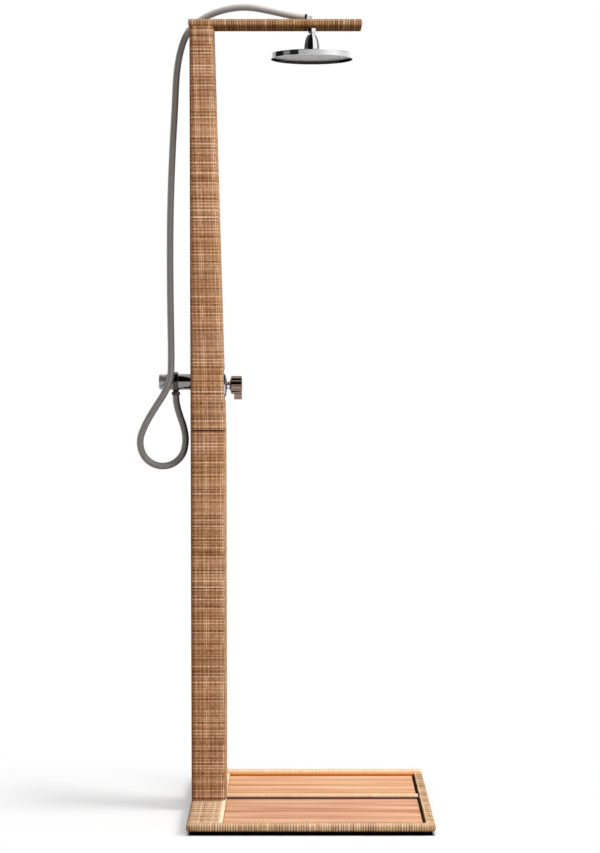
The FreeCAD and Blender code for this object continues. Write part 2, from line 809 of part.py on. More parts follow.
def build_knob():
    """Fluted knob with a tapered back and a finger lug that points down, on its spindle."""
    z = tap_height
    body_x0 = knob_x0 + knob_cone_length
    body = turned([(0, 0), (sleeve_radius + 1.5, 0), (knob_radius, knob_cone_length),
                   (knob_radius, knob_cone_length + knob_length - knob_edge),
                   (knob_radius - knob_edge, knob_cone_length + knob_length),
                   (0, knob_cone_length + knob_length)], (knob_x0, 0, z), (1, 0, 0))
    flutes = []
    reach = knob_radius + knob_flute_radius - knob_flute_depth
    for i in range(knob_flutes):
        angle = 2 * math.pi * (i + 0.5) / knob_flutes
        y = reach * math.sin(angle)
        up = z + reach * math.cos(angle)
        flutes.append(rod(knob_flute_radius, (knob_x0 - 1.0, y, up), (knob_x1 + 1.0, y, up)))
    half = knob_lug_width / 2
    lug_z = z - knob_radius - knob_lug_drop
    lug = block(knob_x1 - knob_lug_length, knob_x1, -half, half, lug_z, z - knob_radius / 2)
    lug = round_edges(lug, knob_lug_edge, edges_at_height(lug, lug_z))
    body = body.cut(flutes).fuse(lug)
    recess = rod(knob_recess_radius, (knob_x1 - knob_recess_depth, 0, z), (knob_x1, 0, z))
    spindle_end = knob_x1 - knob_recess_depth - knob_end_wall
    bore = rod(spindle_radius, (knob_x0, 0, z), (spindle_end, 0, z))
    keep("knob", body.cut([recess, bore]))
    keep("spindle", rod(spindle_radius, (cartridge_x1 - spindle_tail + joint_clearance, 0, z),
                        (spindle_end, 0, z)))


# ---- outlet bar on the left of the post
bar_x0 = post_left - bar_length
cap_x0 = bar_x0 - end_cap_length
collar_x0 = outlet_x - collar_width / 2
nut_top = bar_height - collar_radius
nut_bottom = nut_top - hose_nut_height
nipple_end = nut_top - nipple_length


def build_outlet_bar():
    z = bar_height
    bar = union([rod(bar_radius, (bar_x0, 0, z), (post_left, 0, z)),
                 rod(bar_spigot_radius, (post_left, 0, z), (spigot_end_x, 0, z))])
    ways = [rod(bar_bore_radius, (bar_x0, 0, z), (spigot_end_x, 0, z)),
            rod(end_cap_thread_radius + joint_clearance, (bar_x0, 0, z),
                (bar_x0 + end_cap_thread_length, 0, z)),
            rod(nipple_bore_radius, (outlet_x, 0, z), (outlet_x, 0, z - bar_radius))]
    keep("outlet_bar", bar.cut(ways))


def build_end_cap():
    z = bar_height
    cap = turned([(0, 0), (end_cap_radius - end_cap_edge, 0), (end_cap_radius, end_cap_edge),
                  (end_cap_radius, end_cap_length - end_cap_groove),
                  (end_cap_radius - end_cap_groove, end_cap_length - end_cap_groove),
                  (end_cap_radius - end_cap_groove, end_cap_length),
                  (end_cap_thread_radius, end_cap_length),
                  (end_cap_thread_radius, end_cap_length + end_cap_thread_length - joint_clearance),
                  (0, end_cap_length + end_cap_thread_length - joint_clearance)], (cap_x0, 0, z), (1, 0, 0))
    keep("bar_end_cap", cap)


def build_outlet_collar():
    """Ring clamped on the bar, with the nipple that the hose nut screws on to."""
    z = bar_height
    ring = turned([(bar_radius, 0), (collar_radius - collar_edge, 0), (collar_radius, collar_edge),
                   (collar_radius, collar_width - collar_edge), (collar_radius - collar_edge, collar_width),
                   (bar_radius, collar_width)], (collar_x0, 0, z), (1, 0, 0))
    nipple = rod(nipple_radius, (outlet_x, 0, z), (outlet_x, 0, nipple_end))
    nipple = nipple.cut(rod(bar_radius, (outlet_x - bar_radius, 0, z), (outlet_x + bar_radius, 0, z)))
    way = rod(nipple_bore_radius, (outlet_x, 0, z), (outlet_x, 0, nipple_end))
    keep("outlet_collar", ring.fuse(nipple).cut(way))


def build_hose_nut():
    """Coupling nut at the tap end of the hose."""
    r = hose_nut_radius
    e = hose_nut_edge
    nut = turned([(0, 0), (r - e, 0), (r, e), (r, hose_nut_height - e), (r - e, hose_nut_height),
                  (0, hose_nut_height)], (outlet_x, 0, nut_bottom), (0, 0, 1))
    seat = rod(nipple_radius + joint_clearance, (outlet_x, 0, nipple_end), (outlet_x, 0, nut_top))
    way = rod(nipple_bore_radius, (outlet_x, 0, nut_bottom), (outlet_x, 0, nipple_end))
    keep("hose_nut", nut.cut([seat, way]))


# ---- overhead fittings
elbow_z = arm_top + elbow_height
rise = math.radians(elbow_rise_angle)
elbow_out = Vector(-math.cos(rise), 0, math.sin(rise))


def along_outlet(distance):
    p = Vector(stem_x, 0, elbow_z) + elbow_out * distance
    return (p.x, p.y, p.z)


hose_start = along_outlet(elbow_outlet_length + ferrule_length)


def build_elbow_and_ferrule():
    """Elbow over the stem, its outlet rising towards the post, and the ring that holds the hose on."""
    centre = (stem_x, 0, elbow_z)
    foot = hexagon(elbow_foot_radius, elbow_foot_height, (stem_x, 0, arm_top), (0, 0, 1), 6)
    body = union([foot, rod(elbow_radius + 1.0, (stem_x, 0, arm_top), centre),
                  Part.makeSphere(elbow_radius + 1.0, Vector(*centre)),
                  rod(elbow_radius, centre, along_outlet(elbow_outlet_length))])
    floor = block(stem_x - 50.0, stem_x + 50.0, -50.0, 50.0, arm_top - 50.0, arm_top)
    ways = [rod(stem_radius + joint_clearance, (stem_x, 0, arm_top), (stem_x, 0, arm_top + stem_stub)),
            rod(stem_bore_radius, (stem_x, 0, arm_top), centre),
            rod(stem_bore_radius, centre, along_outlet(elbow_outlet_length)), floor]
    keep("elbow", body.cut(ways))
    keep("hose_ferrule", tube(ferrule_radius, stem_bore_radius, along_outlet(elbow_outlet_length), hose_start))


def build_stem():
    z1 = arm_top + stem_stub - joint_clearance
    z0 = arm_bottom - neck_nut_height
    keep("stem", tube(stem_radius, stem_bore_radius, (stem_x, 0, z0), (stem_x, 0, z1)))
    nut = hexagon(neck_nut_radius, neck_nut_height, (stem_x, 0, z0), (0, 0, 1), neck_nut_sides)
    turned_down = Part.makeCone(neck_nut_radius - 1.5, neck_nut_radius + 8.5, 10.0, Vector(stem_x, 0, z0))
    bore = rod(stem_radius + joint_clearance, (stem_x, 0, z0), (stem_x, 0, arm_bottom))
    keep("neck_nut", nut.common(turned_down).cut(bore))


def build_ball_stud():
    top = arm_bottom - neck_nut_height
    collar = rod(ball_collar_radius, (stem_x, 0, top - ball_collar_height), (stem_x, 0, top))
    collar = round_edges(collar, ball_collar_edge, edges_at_height(collar, top - ball_collar_height))
    stud = union([collar, rod(ball_shank_radius, (stem_x, 0, ball_height), (stem_x, 0, top)),
                  Part.makeSphere(ball_radius, Vector(stem_x, 0, ball_height))])
    flat = level_slab(ball_height - 2 * ball_radius, ball_height - ball_radius + ball_flat)
    way = rod(ball_bore_radius, (stem_x, 0, ball_height - ball_radius), (stem_x, 0, top))
    keep("ball_stud", stud.cut([flat, way]))


def level_slab(low, high):
    half = 2 * bell_radius
    return block(stem_x - half, stem_x + half, -half, half, low, high)


def build_ball_liner():
    """Spherical bush: it turns on the ball, and the seat tilts on it."""
    centre = Vector(stem_x, 0, ball_height)
    shell = Part.makeSphere(ball_radius + ball_running_gap + liner_wall, centre)
    zone = shell.common(level_slab(ball_height - liner_below, ball_height + liner_above))
    keep("ball_liner", zone.cut(Part.makeSphere(ball_radius + ball_running_gap, centre)))


def dome(radius, height):
    """Upper half of an ellipsoid of revolution on the bell's centre, on a straight skirt below."""
    ball = Part.makeSphere(radius, Vector(0, 0, 0))
    stretch = FreeCAD.Matrix()
    stretch.scale(1.0, 1.0, height / radius)
    cap = ball.transformGeometry(stretch)
    cap.translate(Vector(stem_x, 0, dome_height))
    cap = cap.common(level_slab(dome_height, dome_height + 2 * height))
    return cap.fuse(rod(radius, (stem_x, 0, head_top), (stem_x, 0, dome_height)))


def build_bell_and_seat():
    inner = dome(bell_radius - bell_wall, bell_dome_height - bell_wall)
    mouth = rod(bell_mouth_radius, (stem_x, 0, dome_height), (stem_x, 0, arm_bottom))
    keep("bell", dome(bell_radius, bell_dome_height).cut([inner, mouth]))
    socket = Part.makeSphere(ball_radius + 2 * ball_running_gap + liner_wall, Vector(stem_x, 0, ball_height))
    seat = inner.common(level_slab(ball_height - seat_below, ball_height + seat_above))
    keep("ball_seat", seat.cut(socket))


def build_head():
    c = (stem_x, 0, head_top)
    r = head_radius
    e = head_edge_radius
    half_turn = math.pi / 4
    arc_middle = Vector(r - e + e * math.sin(half_turn), 0, -e + e * math.cos(half_turn))
    arc = Part.Arc(Vector(r - e, 0, 0), arc_middle, Vector(r, 0, -e)).toShape()
    corner = [Vector(r, 0, -e), Vector(r, 0, -head_rim_height), Vector(r - head_wall, 0, -head_rim_height),
              Vector(r - head_wall, 0, -head_wall), Vector(head_hole_radius, 0, -head_wall),
              Vector(head_hole_radius, 0, 0), Vector(r - e, 0, 0)]
    wire = Part.Wire([arc] + [Part.LineSegment(a, b).toShape() for a, b in zip(corner, corner[1:])])
    shell = Part.Face(wire).revolve(Vector(0, 0, 0), Vector(0, 0, 1), 360)
    shell.translate(Vector(*c))
    keep("head_shell", shell)


def nozzle_places():
    places = []
    for ring in range(1, nozzle_rings + 1):
        count = ring * nozzles_per_ring_step
        for i in range(count):
            angle = 2 * math.pi * (i + 0.5 * (ring % 2)) / count
            places.append((stem_x + ring * nozzle_ring_step * math.cos(angle),
                           ring * nozzle_ring_step * math.sin(angle)))
    return places


def build_face():
    plate_radius = head_radius - head_wall - face_plate_clearance
    plate = rod(plate_radius, (stem_x, 0, face_bottom), (stem_x, 0, face_top))
    holes = [rod(nozzle_stem_radius + nozzle_clearance, (x, y, face_bottom), (x, y, face_top))
             for x, y in nozzle_places()]
    keep("face_plate", plate.cut(holes))
    nozzles = []
    for x, y in nozzle_places():
        tip = rod(nozzle_radius, (x, y, face_bottom - nozzle_drop), (x, y, face_bottom))
        nozzle = tip.fuse(rod(nozzle_stem_radius, (x, y, face_bottom), (x, y, face_top)))
        bore = rod(nozzle_bore_radius, (x, y, face_bottom - nozzle_drop), (x, y, face_top))
        nozzles.append(nozzle.cut(bore))
    keep("nozzles", Part.makeCompound(nozzles))


# ---- hose: the points of its route, from the elbow over the arm and down to the tap
def hose_points():
    chosen = [(-60, 0, 2324.4), (-119, 12, 2340), (-186, 32, 2355), (-249, 62, 2352), (-304, 88, 2337),
              (-352, 101, 2307), (-379, 104, 2260), (-396, 98, 2179), (-400, 82, 2069), (-407, 60, 1931),
              (-412, 36, 1763), (-412, 12, 1591), (-409, -12, 1440), (-406, -34, 1337), (-407, -46, 1269),
              (-426, -48, 1226), (-457, -46, 1180), (-484, -43, 1134), (-501, -38, 1089), (-491, -32, 1043),
              (-456, -26, 1014), (-411, -19, 1013), (-375, -13, 1041), (-365, -8, 1086), (-371, -4, 1126),
              (-385, -1, 1163), (-395, 0, 1201)]
    end = (outlet_x, 0, nut_bottom)
    return [Vector(*hose_start)] + [Vector(*p) for p in chosen] + [Vector(*end)]


def hose_path():
    """Straight runs joined by tangent arcs, each arc as large as its two runs allow."""
    points = hose_points()
    edges = []
    start = points[0]
    length = 0.0
    radii = []
    for before, corner, after in zip(points, points[1:], points[2:]):
        into = corner - before
        out = after - corner
        turn = into.getAngle(out)
        reach = 0.45 * min(into.Length, out.Length)
        radius = reach / math.tan(turn / 2)
        radii.append(radius)
        arc_start = corner - into.normalize() * reach
        arc_end = corner + out.normalize() * reach
        bisector = (arc_start + arc_end) * 0.5 - corner
        sagitta = radius / math.cos(turn / 2) - radius
        middle = corner + bisector.normalize() * sagitta
        line = Part.LineSegment(start, arc_start).toShape()
        edges += [line, Part.Arc(arc_start, middle, arc_end).toShape()]
        length += line.Length + radius * turn
        start = arc_end
    last = Part.LineSegment(start, points[-1]).toShape()
    edges.append(last)
    return Part.Wire(edges), length + last.Length, radii


def build_hose():
    path, length, radii = hose_path()
    points = hose_points()
    ring = Part.Wire(Part.Circle(points[0], points[1] - points[0], hose_radius).toShape())
    hose = path.makePipeShell([ring], True, True)
    section = math.pi * hose_radius ** 2
    print("hose length", round(length, 1), "volume ratio", round(hose.Volume / (section * length), 5),
          "valid", hose.isValid())
    print("hose radii in diameters", [round(r / (2 * hose_radius), 2) for r in radii])
    keep("shower_hose", hose)


def build_all():
    build_base_plate()
    build_pads()
    build_rail_screws()
    build_rails()
    for name, (y0, y1) in zip(("front", "back"), board_spans()):
        build_board(name, y0, y1)
    build_post_lower()
    build_foot_bolts()
    build_spigot()
    build_post_upper()
    build_arm()
    build_inlet()
    build_supply_pipe()
    build_valve()
    build_sleeve_and_rosette()
    build_knob()
    build_outlet_bar()
    build_end_cap()
    build_outlet_collar()
    build_hose_nut()
    build_elbow_and_ferrule()
    build_stem()
    build_ball_stud()
    build_ball_liner()
    build_bell_and_seat()
    build_head()
    build_face()
    build_hose()


build_all()
os.makedirs("parts", exist_ok=True)
for name, shape in nodes.items():
    if not shape.isValid() or not shape.Solids:
        print("check this piece:", name)
    shape.exportStep(f"parts/{name}.step")
print(len(nodes), "pieces")
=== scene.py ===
# %% [markdown]
# # Outdoor shower post: the looks
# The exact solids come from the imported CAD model, with every piece in its real place, in metres.
# This lesson loads them, keeps the ones whose shape is right, and gives each a finish made of shader
# nodes. Pieces that need a softer or smoother form than a solid has are modelled here. The other way
# would be to model everything afresh by eye, but then nothing would fit the joints any more.

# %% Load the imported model
import math
import bpy
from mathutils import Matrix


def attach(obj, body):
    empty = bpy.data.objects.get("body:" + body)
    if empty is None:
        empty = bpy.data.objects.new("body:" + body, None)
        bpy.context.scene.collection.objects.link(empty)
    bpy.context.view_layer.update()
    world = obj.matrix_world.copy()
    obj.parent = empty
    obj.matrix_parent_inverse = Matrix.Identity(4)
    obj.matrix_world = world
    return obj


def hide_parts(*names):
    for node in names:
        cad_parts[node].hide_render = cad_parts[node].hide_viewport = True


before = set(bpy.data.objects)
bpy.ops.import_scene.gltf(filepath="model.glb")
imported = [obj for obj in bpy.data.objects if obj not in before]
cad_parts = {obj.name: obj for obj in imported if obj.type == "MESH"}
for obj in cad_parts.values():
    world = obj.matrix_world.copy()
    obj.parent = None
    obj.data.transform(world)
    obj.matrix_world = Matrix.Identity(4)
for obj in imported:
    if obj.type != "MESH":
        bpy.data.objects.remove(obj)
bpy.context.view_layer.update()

bpy.ops.object.select_all(action="DESELECT")
scene = bpy.context.scene
scene.view_settings.view_transform = "Standard"

# %% [markdown]
# ## The camera
# A photograph fixes its camera: the corners of the tray, the edges of the post and the seam only line
# up from one place. A normal lens close by would make the tray spread too much, so this one stands
# almost six metres off with a long lens, a little above the middle, looking slightly down.

# %% Camera
looking_down = 3.298

lens = bpy.data.cameras.new("camera")
lens.sensor_fit = "VERTICAL"
lens.sensor_height = 36
lens.lens = 85.19
camera = bpy.data.objects.new("camera", lens)
camera.location = (-0.0307, -5.924, 1.4696)
camera.rotation_euler = (math.radians(90 - looking_down), 0, 0)
scene.collection.objects.link(camera)
scene.camera = camera
print("camera at", tuple(camera.location))

# %% [markdown]
# ## The hose
# The hose is one limp tube: out of the elbow, over the arm in a low arch, down behind and beside the
# post, once round in a hanging loop and up into the nut of the outlet bar. It could be swept from many
# sampled points, but that looks like bent wire. A few control points with a smooth line between them
# bend as a real hose does.

# %% Hose
hose_route = [
    (-16.80, 0, 2318.35), (-60, 0, 2324.4), (-119, 12, 2340), (-186, 32, 2355), (-249, 62, 2352),
    (-304, 88, 2337), (-352, 101, 2307), (-379, 104, 2260), (-396, 98, 2179), (-400, 82, 2069),
    (-407, 60, 1931), (-412, 36, 1763), (-412, 12, 1591), (-409, -12, 1440), (-406, -34, 1337),
    (-407, -46, 1269), (-426, -48, 1226), (-457, -46, 1180), (-484, -43, 1134), (-501, -38, 1089),
    (-491, -32, 1043), (-456, -26, 1014), (-411, -19, 1013), (-375, -13, 1041), (-365, -8, 1086),
    (-371, -4, 1126), (-385, -1, 1163), (-395, 0, 1201), (-395, 0, 1221)]


def mm(length):
    """A length in millimetres, turned into Blender's metres."""
    return length / 1000


def smooth_line(name, route, radius):
    """A round tube along one smooth line through the run of control points, given in millimetres."""
    curve = bpy.data.curves.new(name, "CURVE")
    curve.dimensions = "3D"
    line = curve.splines.new("NURBS")
    line.points.add(len(route) - 1)
    for point, (x, y, z) in zip(line.points, route):
        point.co = (mm(x), mm(y), mm(z), 1)
        point.radius = radius
    line.order_u = 3
    line.use_endpoint_u = True
    curve.resolution_u = 14
    curve.bevel_depth = 1.0
    curve.bevel_resolution = 9
    curve.use_fill_caps = True
    piece = bpy.data.objects.new(name, curve)
    scene.collection.objects.link(piece)
    return piece


hose = smooth_line("hose", hose_route, 0.010)
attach(hose, "stand")
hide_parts("shower_hose")
print("hose control points", len(hose_route))

# %% [markdown]
# ## Writing finishes as sums
# A finish is a small calculation for each point of a surface: where is it, which strand does it lie on,
# how dark is that strand. It could be wired by hand in the node editor. Here a class stands for one
# output of a node, so that plain sums such as `1 - gap * 0.5` add the Math nodes by themselves.

# %% A value that is worked out by nodes
class Value:
    """One output socket of a finish, with the operators that add Math nodes."""

    def __init__(self, finish, socket):
        self.finish = finish
        self.socket = socket

    def math(self, operation, *others):
        return self.finish.math(operation, self, *others)

    def __add__(self, other):
        return self.math("ADD", other)

    def __radd__(self, other):
        return self.finish.math("ADD", other, self)

    def __sub__(self, other):
        return self.math("SUBTRACT", other)

    def __rsub__(self, other):
        return self.finish.math("SUBTRACT", other, self)

    def __mul__(self, other):
        return self.math("MULTIPLY", other)

    def __rmul__(self, other):
        return self.finish.math("MULTIPLY", other, self)

    def __truediv__(self, other):
        return self.math("DIVIDE", other)

    def __pow__(self, other):
        return self.math("POWER", other)

    def __gt__(self, other):
        return self.math("GREATER_THAN", other)

    def __lt__(self, other):
        return self.math("LESS_THAN", other)

    def __abs__(self):
        return self.math("ABSOLUTE")

    def floor(self):
        return self.math("FLOOR")

    def part(self):
        """What is left after the whole number, from 0 to 1."""
        return self.math("FRACT")

    def ramp(self, low, high):
        """0 below low, 1 above high, and smooth between."""
        return self.finish.make("ShaderNodeMapRange", {"interpolation_type": "SMOOTHSTEP"},
                                {"Value": self, "From Min": low, "From Max": high}, "Result")


# %% A finish, which holds the nodes
class Finish:
    """The nodes of a material or of the world. Its make method adds any node; its sums add Math nodes."""

    def __init__(self, holder):
        self.holder = holder
        self.holder.use_nodes = True
        self.tree = holder.node_tree
        self.tree.nodes.clear()

    def make(self, kind, settings=None, values=None, output=0):
        """Adds a node. Its settings come first, then the numbers or links of its sockets."""
        node = self.tree.nodes.new(kind)
        for key, setting in (settings or {}).items():
            if key == "stops":
                while len(node.color_ramp.elements) < len(setting):
                    node.color_ramp.elements.new(1)
                for stop, (place, colour) in zip(node.color_ramp.elements, setting):
                    stop.position = place
                    stop.color = colour
            else:
                setattr(node, key, setting)
        for key, value in (values or {}).items():
            if isinstance(value, Value):
                self.tree.links.new(value.socket, node.inputs[key])
            else:
                node.inputs[key].default_value = value
        return Value(self, node.outputs[output])

    def math(self, operation, *numbers):
        return self.make("ShaderNodeMath", {"operation": operation}, dict(enumerate(numbers)))

    def place(self):
        """The point's own place on the object, in metres."""
        return self.make("ShaderNodeTexCoord", output="Object")

    def split(self, vector):
        node = self.make("ShaderNodeSeparateXYZ", values={0: vector}).socket.node
        return [Value(self, node.outputs[k]) for k in range(3)]

    def join(self, x, y, z):
        return self.make("ShaderNodeCombineXYZ", values={0: x, 1: y, 2: z})

    def noise(self, where, scale, detail=2.0, rough=0.5):
        """Soft random clouds around one half."""
        return self.make("ShaderNodeTexNoise", {}, {"Vector": where, "Scale": scale, "Detail": detail,
                                                    "Roughness": rough}, "Fac")

    def chance(self, a, b=0.0, seed=0.0):
        """One random number for each whole a and b."""
        return self.make("ShaderNodeTexWhiteNoise", {"noise_dimensions": "3D"},
                         {"Vector": self.join(a, b, seed)}, "Value")

    def colours(self, value, *stops):
        """The colour at a value from 0 to 1, out of stops that stand evenly apart."""
        places = [(k / (len(stops) - 1), linear(colour)) for k, colour in enumerate(stops)]
        return self.make("ShaderNodeValToRGB", {"stops": places}, {"Fac": value}, "Color")

    def blend(self, amount, first, second, way="MIX"):
        """The first colour with an amount of the second; sockets 6 and 7 are the node's two colours."""
        node = self.make("ShaderNodeMix", {"data_type": "RGBA", "blend_type": way},
                         {0: amount, 6: first, 7: second}).socket.node
        return Value(self, node.outputs[2])

    def grey(self, amount):
        return self.make("ShaderNodeCombineColor", {}, {0: amount, 1: amount, 2: amount})

    def shade(self, colour, amount):
        """The colour times a plain number from nodes."""
        return self.blend(1.0, colour, self.grey(amount), "MULTIPLY")

    def bump(self, height, depth):
        return self.make("ShaderNodeBump", {}, {"Height": height, "Distance": depth, "Strength": 1.0})

    def surface(self, **sockets):
        """The closing shader. Names are those of the shader's own sockets, with _ for a space."""
        values = {key.replace("_", " "): value for key, value in sockets.items()}
        return self.close(self.make("ShaderNodeBsdfPrincipled", {}, values))

    def close(self, shader, kind="ShaderNodeOutputMaterial"):
        """Links the last shader to the output and hands back what holds the nodes."""
        end = self.tree.nodes.new(kind)
        self.tree.links.new(shader.socket, end.inputs["Surface"])
        return self.holder


def new_finish(name):
    return Finish(bpy.data.materials.new(name))


def linear(colour):
    """A colour as a picture shows it, 0 to 255, turned into the light values a shader uses."""
    shown = [c / 255 for c in colour]
    light = [c / 12.92 if c < 0.04045 else ((c + 0.055) / 1.055) ** 2.4 for c in shown]
    return (*light, 1.0)


print("middle grey is", linear((128, 128, 128)))

# %% [markdown]
# ## Woven cane
# Peeled cane is split into flat strands a few millimetres wide. On the post they run level round it
# and dive under upright ones; on the arm and the rails they are wound across. A bump in the finish
# could fake this, but the outline would stay as smooth as a pipe, and a pipe is what the model would
# be. So each woven skin is a fine grid, bent round its core, and every point is pushed in or out by
# whether a strand lies over or under there. No modifier knows that rule, so the grid is worked out.

# %% Sizes of what the cane covers, in millimetres
half_tray = 350
post_wide = 101.5
post_half_deep = 65.0
post_narrowing = 32
post_right = post_wide - half_tray
post_middle = post_wide / 2 - half_tray
seam_height = 1120
post_top = 2286.5
upper_rise = post_top - seam_height
arm_left = -353
rail_foot = 12
rail_top = 32
rail_middle = (rail_foot + rail_top) / 2
rail_edge = 7
rail_radii = [rail_edge, 3, 3, rail_edge]
right_rail_inner = 320
back_rail_front = 288
divider_front = -8
skin_wall = 2.4
print("post from", -half_tray, "to", post_right, "with its seam at", seam_height)


# %% Points round a box with rounded corners
def round_box(half_wide, half_high, radii, count, inset):
    """Evenly spaced points, each with its outward direction, counter-clockwise from the top left corner."""
    turns = [(-1, 1, 90), (-1, -1, 180), (1, -1, 270), (1, 1, 0)]
    smallest = 0.2
    pieces = []
    for k, (side, level, angle) in enumerate(turns):
        r = max(radii[k] - inset, smallest)
        next_r = max(radii[(k + 1) % 4] - inset, smallest)
        centre = (side * (half_wide - inset - r), level * (half_high - inset - r))
        pieces.append((r * math.pi / 2, centre, r, math.radians(angle)))
        far = half_high if k % 2 == 0 else half_wide
        pieces.append((2 * (far - inset) - r - next_r, centre, r, math.radians(angle + 90)))
    step = sum(length for length, *rest in pieces) / count
    points = []
    left = 0.0
    for number, (length, (cx, cy), r, angle) in enumerate(pieces):
        while left < length - 1e-9 and len(points) < count:
            turn = angle + left / r if number % 2 == 0 else angle
            ahead = 0 if number % 2 == 0 else left
            na, nb = math.cos(turn), math.sin(turn)
            points.append((cx + r * na - ahead * nb, cy + r * nb + ahead * na, na, nb))
            left += step
        left -= length
    return points


print("points round a small box", len(round_box(10, 10, [2] * 4, 40, 0)))


# %% The way along a skin
def way_along(start, end, fold, cap):
    """Stations from one end to the other: round the end face and its rounded edge first, if there is one."""
    arc = fold * math.pi / 2
    total = (end - start - 2 * fold) + 2 * arc + 2 * (cap - fold)

    def station(s):
        """The place along, how far in from the side, and the outward direction, at a length along the way."""
        near = min(s, total - s)
        sign = -1 if s < total / 2 else 1
        tip = start if sign < 0 else end
        if near < cap - fold:
            return tip, cap - near, sign, 0.0
        if near < cap - fold + arc:
            turn = (near - cap + fold) / fold
            return (tip - sign * fold * (1 - math.cos(turn)), fold * (1 - math.sin(turn)),
                    sign * math.cos(turn), math.sin(turn))
        return tip - sign * (near - cap - arc + 2 * fold), 0.0, 0.0, 1.0

    return total, station


print("way over a 100 mm piece with rounded ends", way_along(0, 100, 5, 9.7)[0])


# %% The rule of over and under
def strand_depth(k, per_stake, row, crown, lift, wave):
    """How deep a point lies, from 0 on top to 1; crown is 1 on the middle of a row and 0 between two."""
    over = 0.5 + 0.5 * math.cos(math.pi * (k / per_stake + row))
    middle = max(0.0, math.cos(math.pi * k / per_stake)) ** 2
    top = (1 - wave) + wave * max(over, 0.85 * middle * (1 - over)) - lift * 0.6
    gap = 0.42 * middle * wave + 0.05
    return 1 - max(gap, crown * top)


print("depth over and under a stake", [strand_depth(0, 2, row, 1.0, 0.0, 0.55) for row in (0, 1)])


# %% The mesh of a skin
def band(lower, upper, count):
    """The faces between two rings of points."""
    return [(lower * count + k, lower * count + (k + 1) % count,
             upper * count + (k + 1) % count, upper * count + k) for k in range(count)]


def mapped_piece(name, points, faces, places, step):
    """A piece whose map says which stake and which row each corner of its first faces lies on."""
    mesh = bpy.data.meshes.new(name)
    mesh.from_pydata(points, [], faces)
    strands = mesh.uv_layers.new(name="strands")
    flat = []
    for across, low, high in places:
        flat += [across, low, across + step, low, across + step, high, across, high]
    flat += [0.0] * (2 * len(mesh.loops) - len(flat))
    strands.data.foreach_set("uv", flat)
    piece = bpy.data.objects.new(name, mesh)
    scene.collection.objects.link(piece)
    bpy.ops.object.select_all(action="DESELECT")
    piece.select_set(True)
    bpy.context.view_layer.objects.active = piece
    bpy.ops.object.mode_set(mode="EDIT")
    bpy.ops.mesh.select_all(action="SELECT")
    bpy.ops.mesh.normals_make_consistent(inside=False)
    bpy.ops.object.mode_set(mode="OBJECT")
    bpy.ops.object.shade_smooth()
    return piece


print("first face between two rings of six", band(0, 1, 6)[0])

# %% The skin
import random


def turned_to(axis, a, b, c):
    """Across, up and along the piece, as x, y and z."""
    return {"Z": (a, b, c), "X": (c, a, b), "Y": (a, c, b)}[axis]


def same_all_along(half_wide, half_high, radii):
    """The outline of a piece that doesn't change from end to end."""
    return lambda along: (half_wide, half_high, radii, 0.0)


def woven_skin(name, axis, centre, outline, ends, row_pitch, stakes, fineness=(5, 3), fold=0.0, cap=0.0,
               relief=0.9, wave=0.55, settle=None, seed=1):
    """Rows of strands over and under stakes, round an outline that may change along the axis.

    fineness is the number of steps to a row and to a stake, relief how deep the gaps are, and wave how much
    of it over and under take. With a cap the skin closes round its ends, or else it gets an inner wall."""
    chance = random.Random(seed)
    total, station = way_along(ends[0], ends[1], fold, cap)
    rows = round(total / row_pitch)
    widths = [chance.uniform(0.78, 1.22) for _ in range(rows)]
    lifts = [chance.uniform(0.0, 0.25) for _ in range(rows)]
    stretch = total / sum(widths)
    per_row, per_stake = fineness
    count = stakes * per_stake
    verts = []
    lanes = []
    place = 0.0
    for row in range(rows):
        last = row == rows - 1
        for part in range(per_row + last):
            share = part / per_row
            along, inset, n_along, n_out = station((place + share * widths[row]) * stretch)
            half_wide, half_high, radii, shift = outline(along)
            crown = math.sin(math.pi * share)
            for k, (a, b, na, nb) in enumerate(round_box(half_wide, half_high, radii, count, inset)):
                depth = relief * strand_depth(k, per_stake, row, crown, lifts[row], wave)
                inward = depth * n_out
                verts.append((a + shift - inward * na, b - inward * nb, along - depth * n_along))
            lanes.append(row + share)
        place += widths[row]
    rings = len(lanes)
    faces = []
    places = []
    for i in range(rings - 1):
        faces += band(i, i + 1, count)
        places += [(k / per_stake, lanes[i], lanes[i + 1]) for k in range(count)]
    if cap:
        faces += [tuple(reversed(range(count))), tuple(range((rings - 1) * count, rings * count))]
    else:
        for along in (ends[1], ends[0]):
            half_wide, half_high, radii, shift = outline(along)
            inner = round_box(half_wide, half_high, radii, count, skin_wall)
            verts += [(a + shift, b, along) for a, b, *_ in inner]
        order = [rings - 1, rings, rings + 1, 0]
        for i, j in zip(order, order[1:]):
            faces += band(i, j, count)
            places += [(k / per_stake, 0.5, 0.5) for k in range(count)]
    points = []
    for vert in verts:
        x, y, z = (p + q for p, q in zip(turned_to(axis, *vert), centre))
        z = settle(x, y, z) if settle else z
        points.append((mm(x), mm(y), mm(z)))
    return mapped_piece(name, points, faces, places, 1 / per_stake)


print("skins get an inner wall at", skin_wall, "mm")
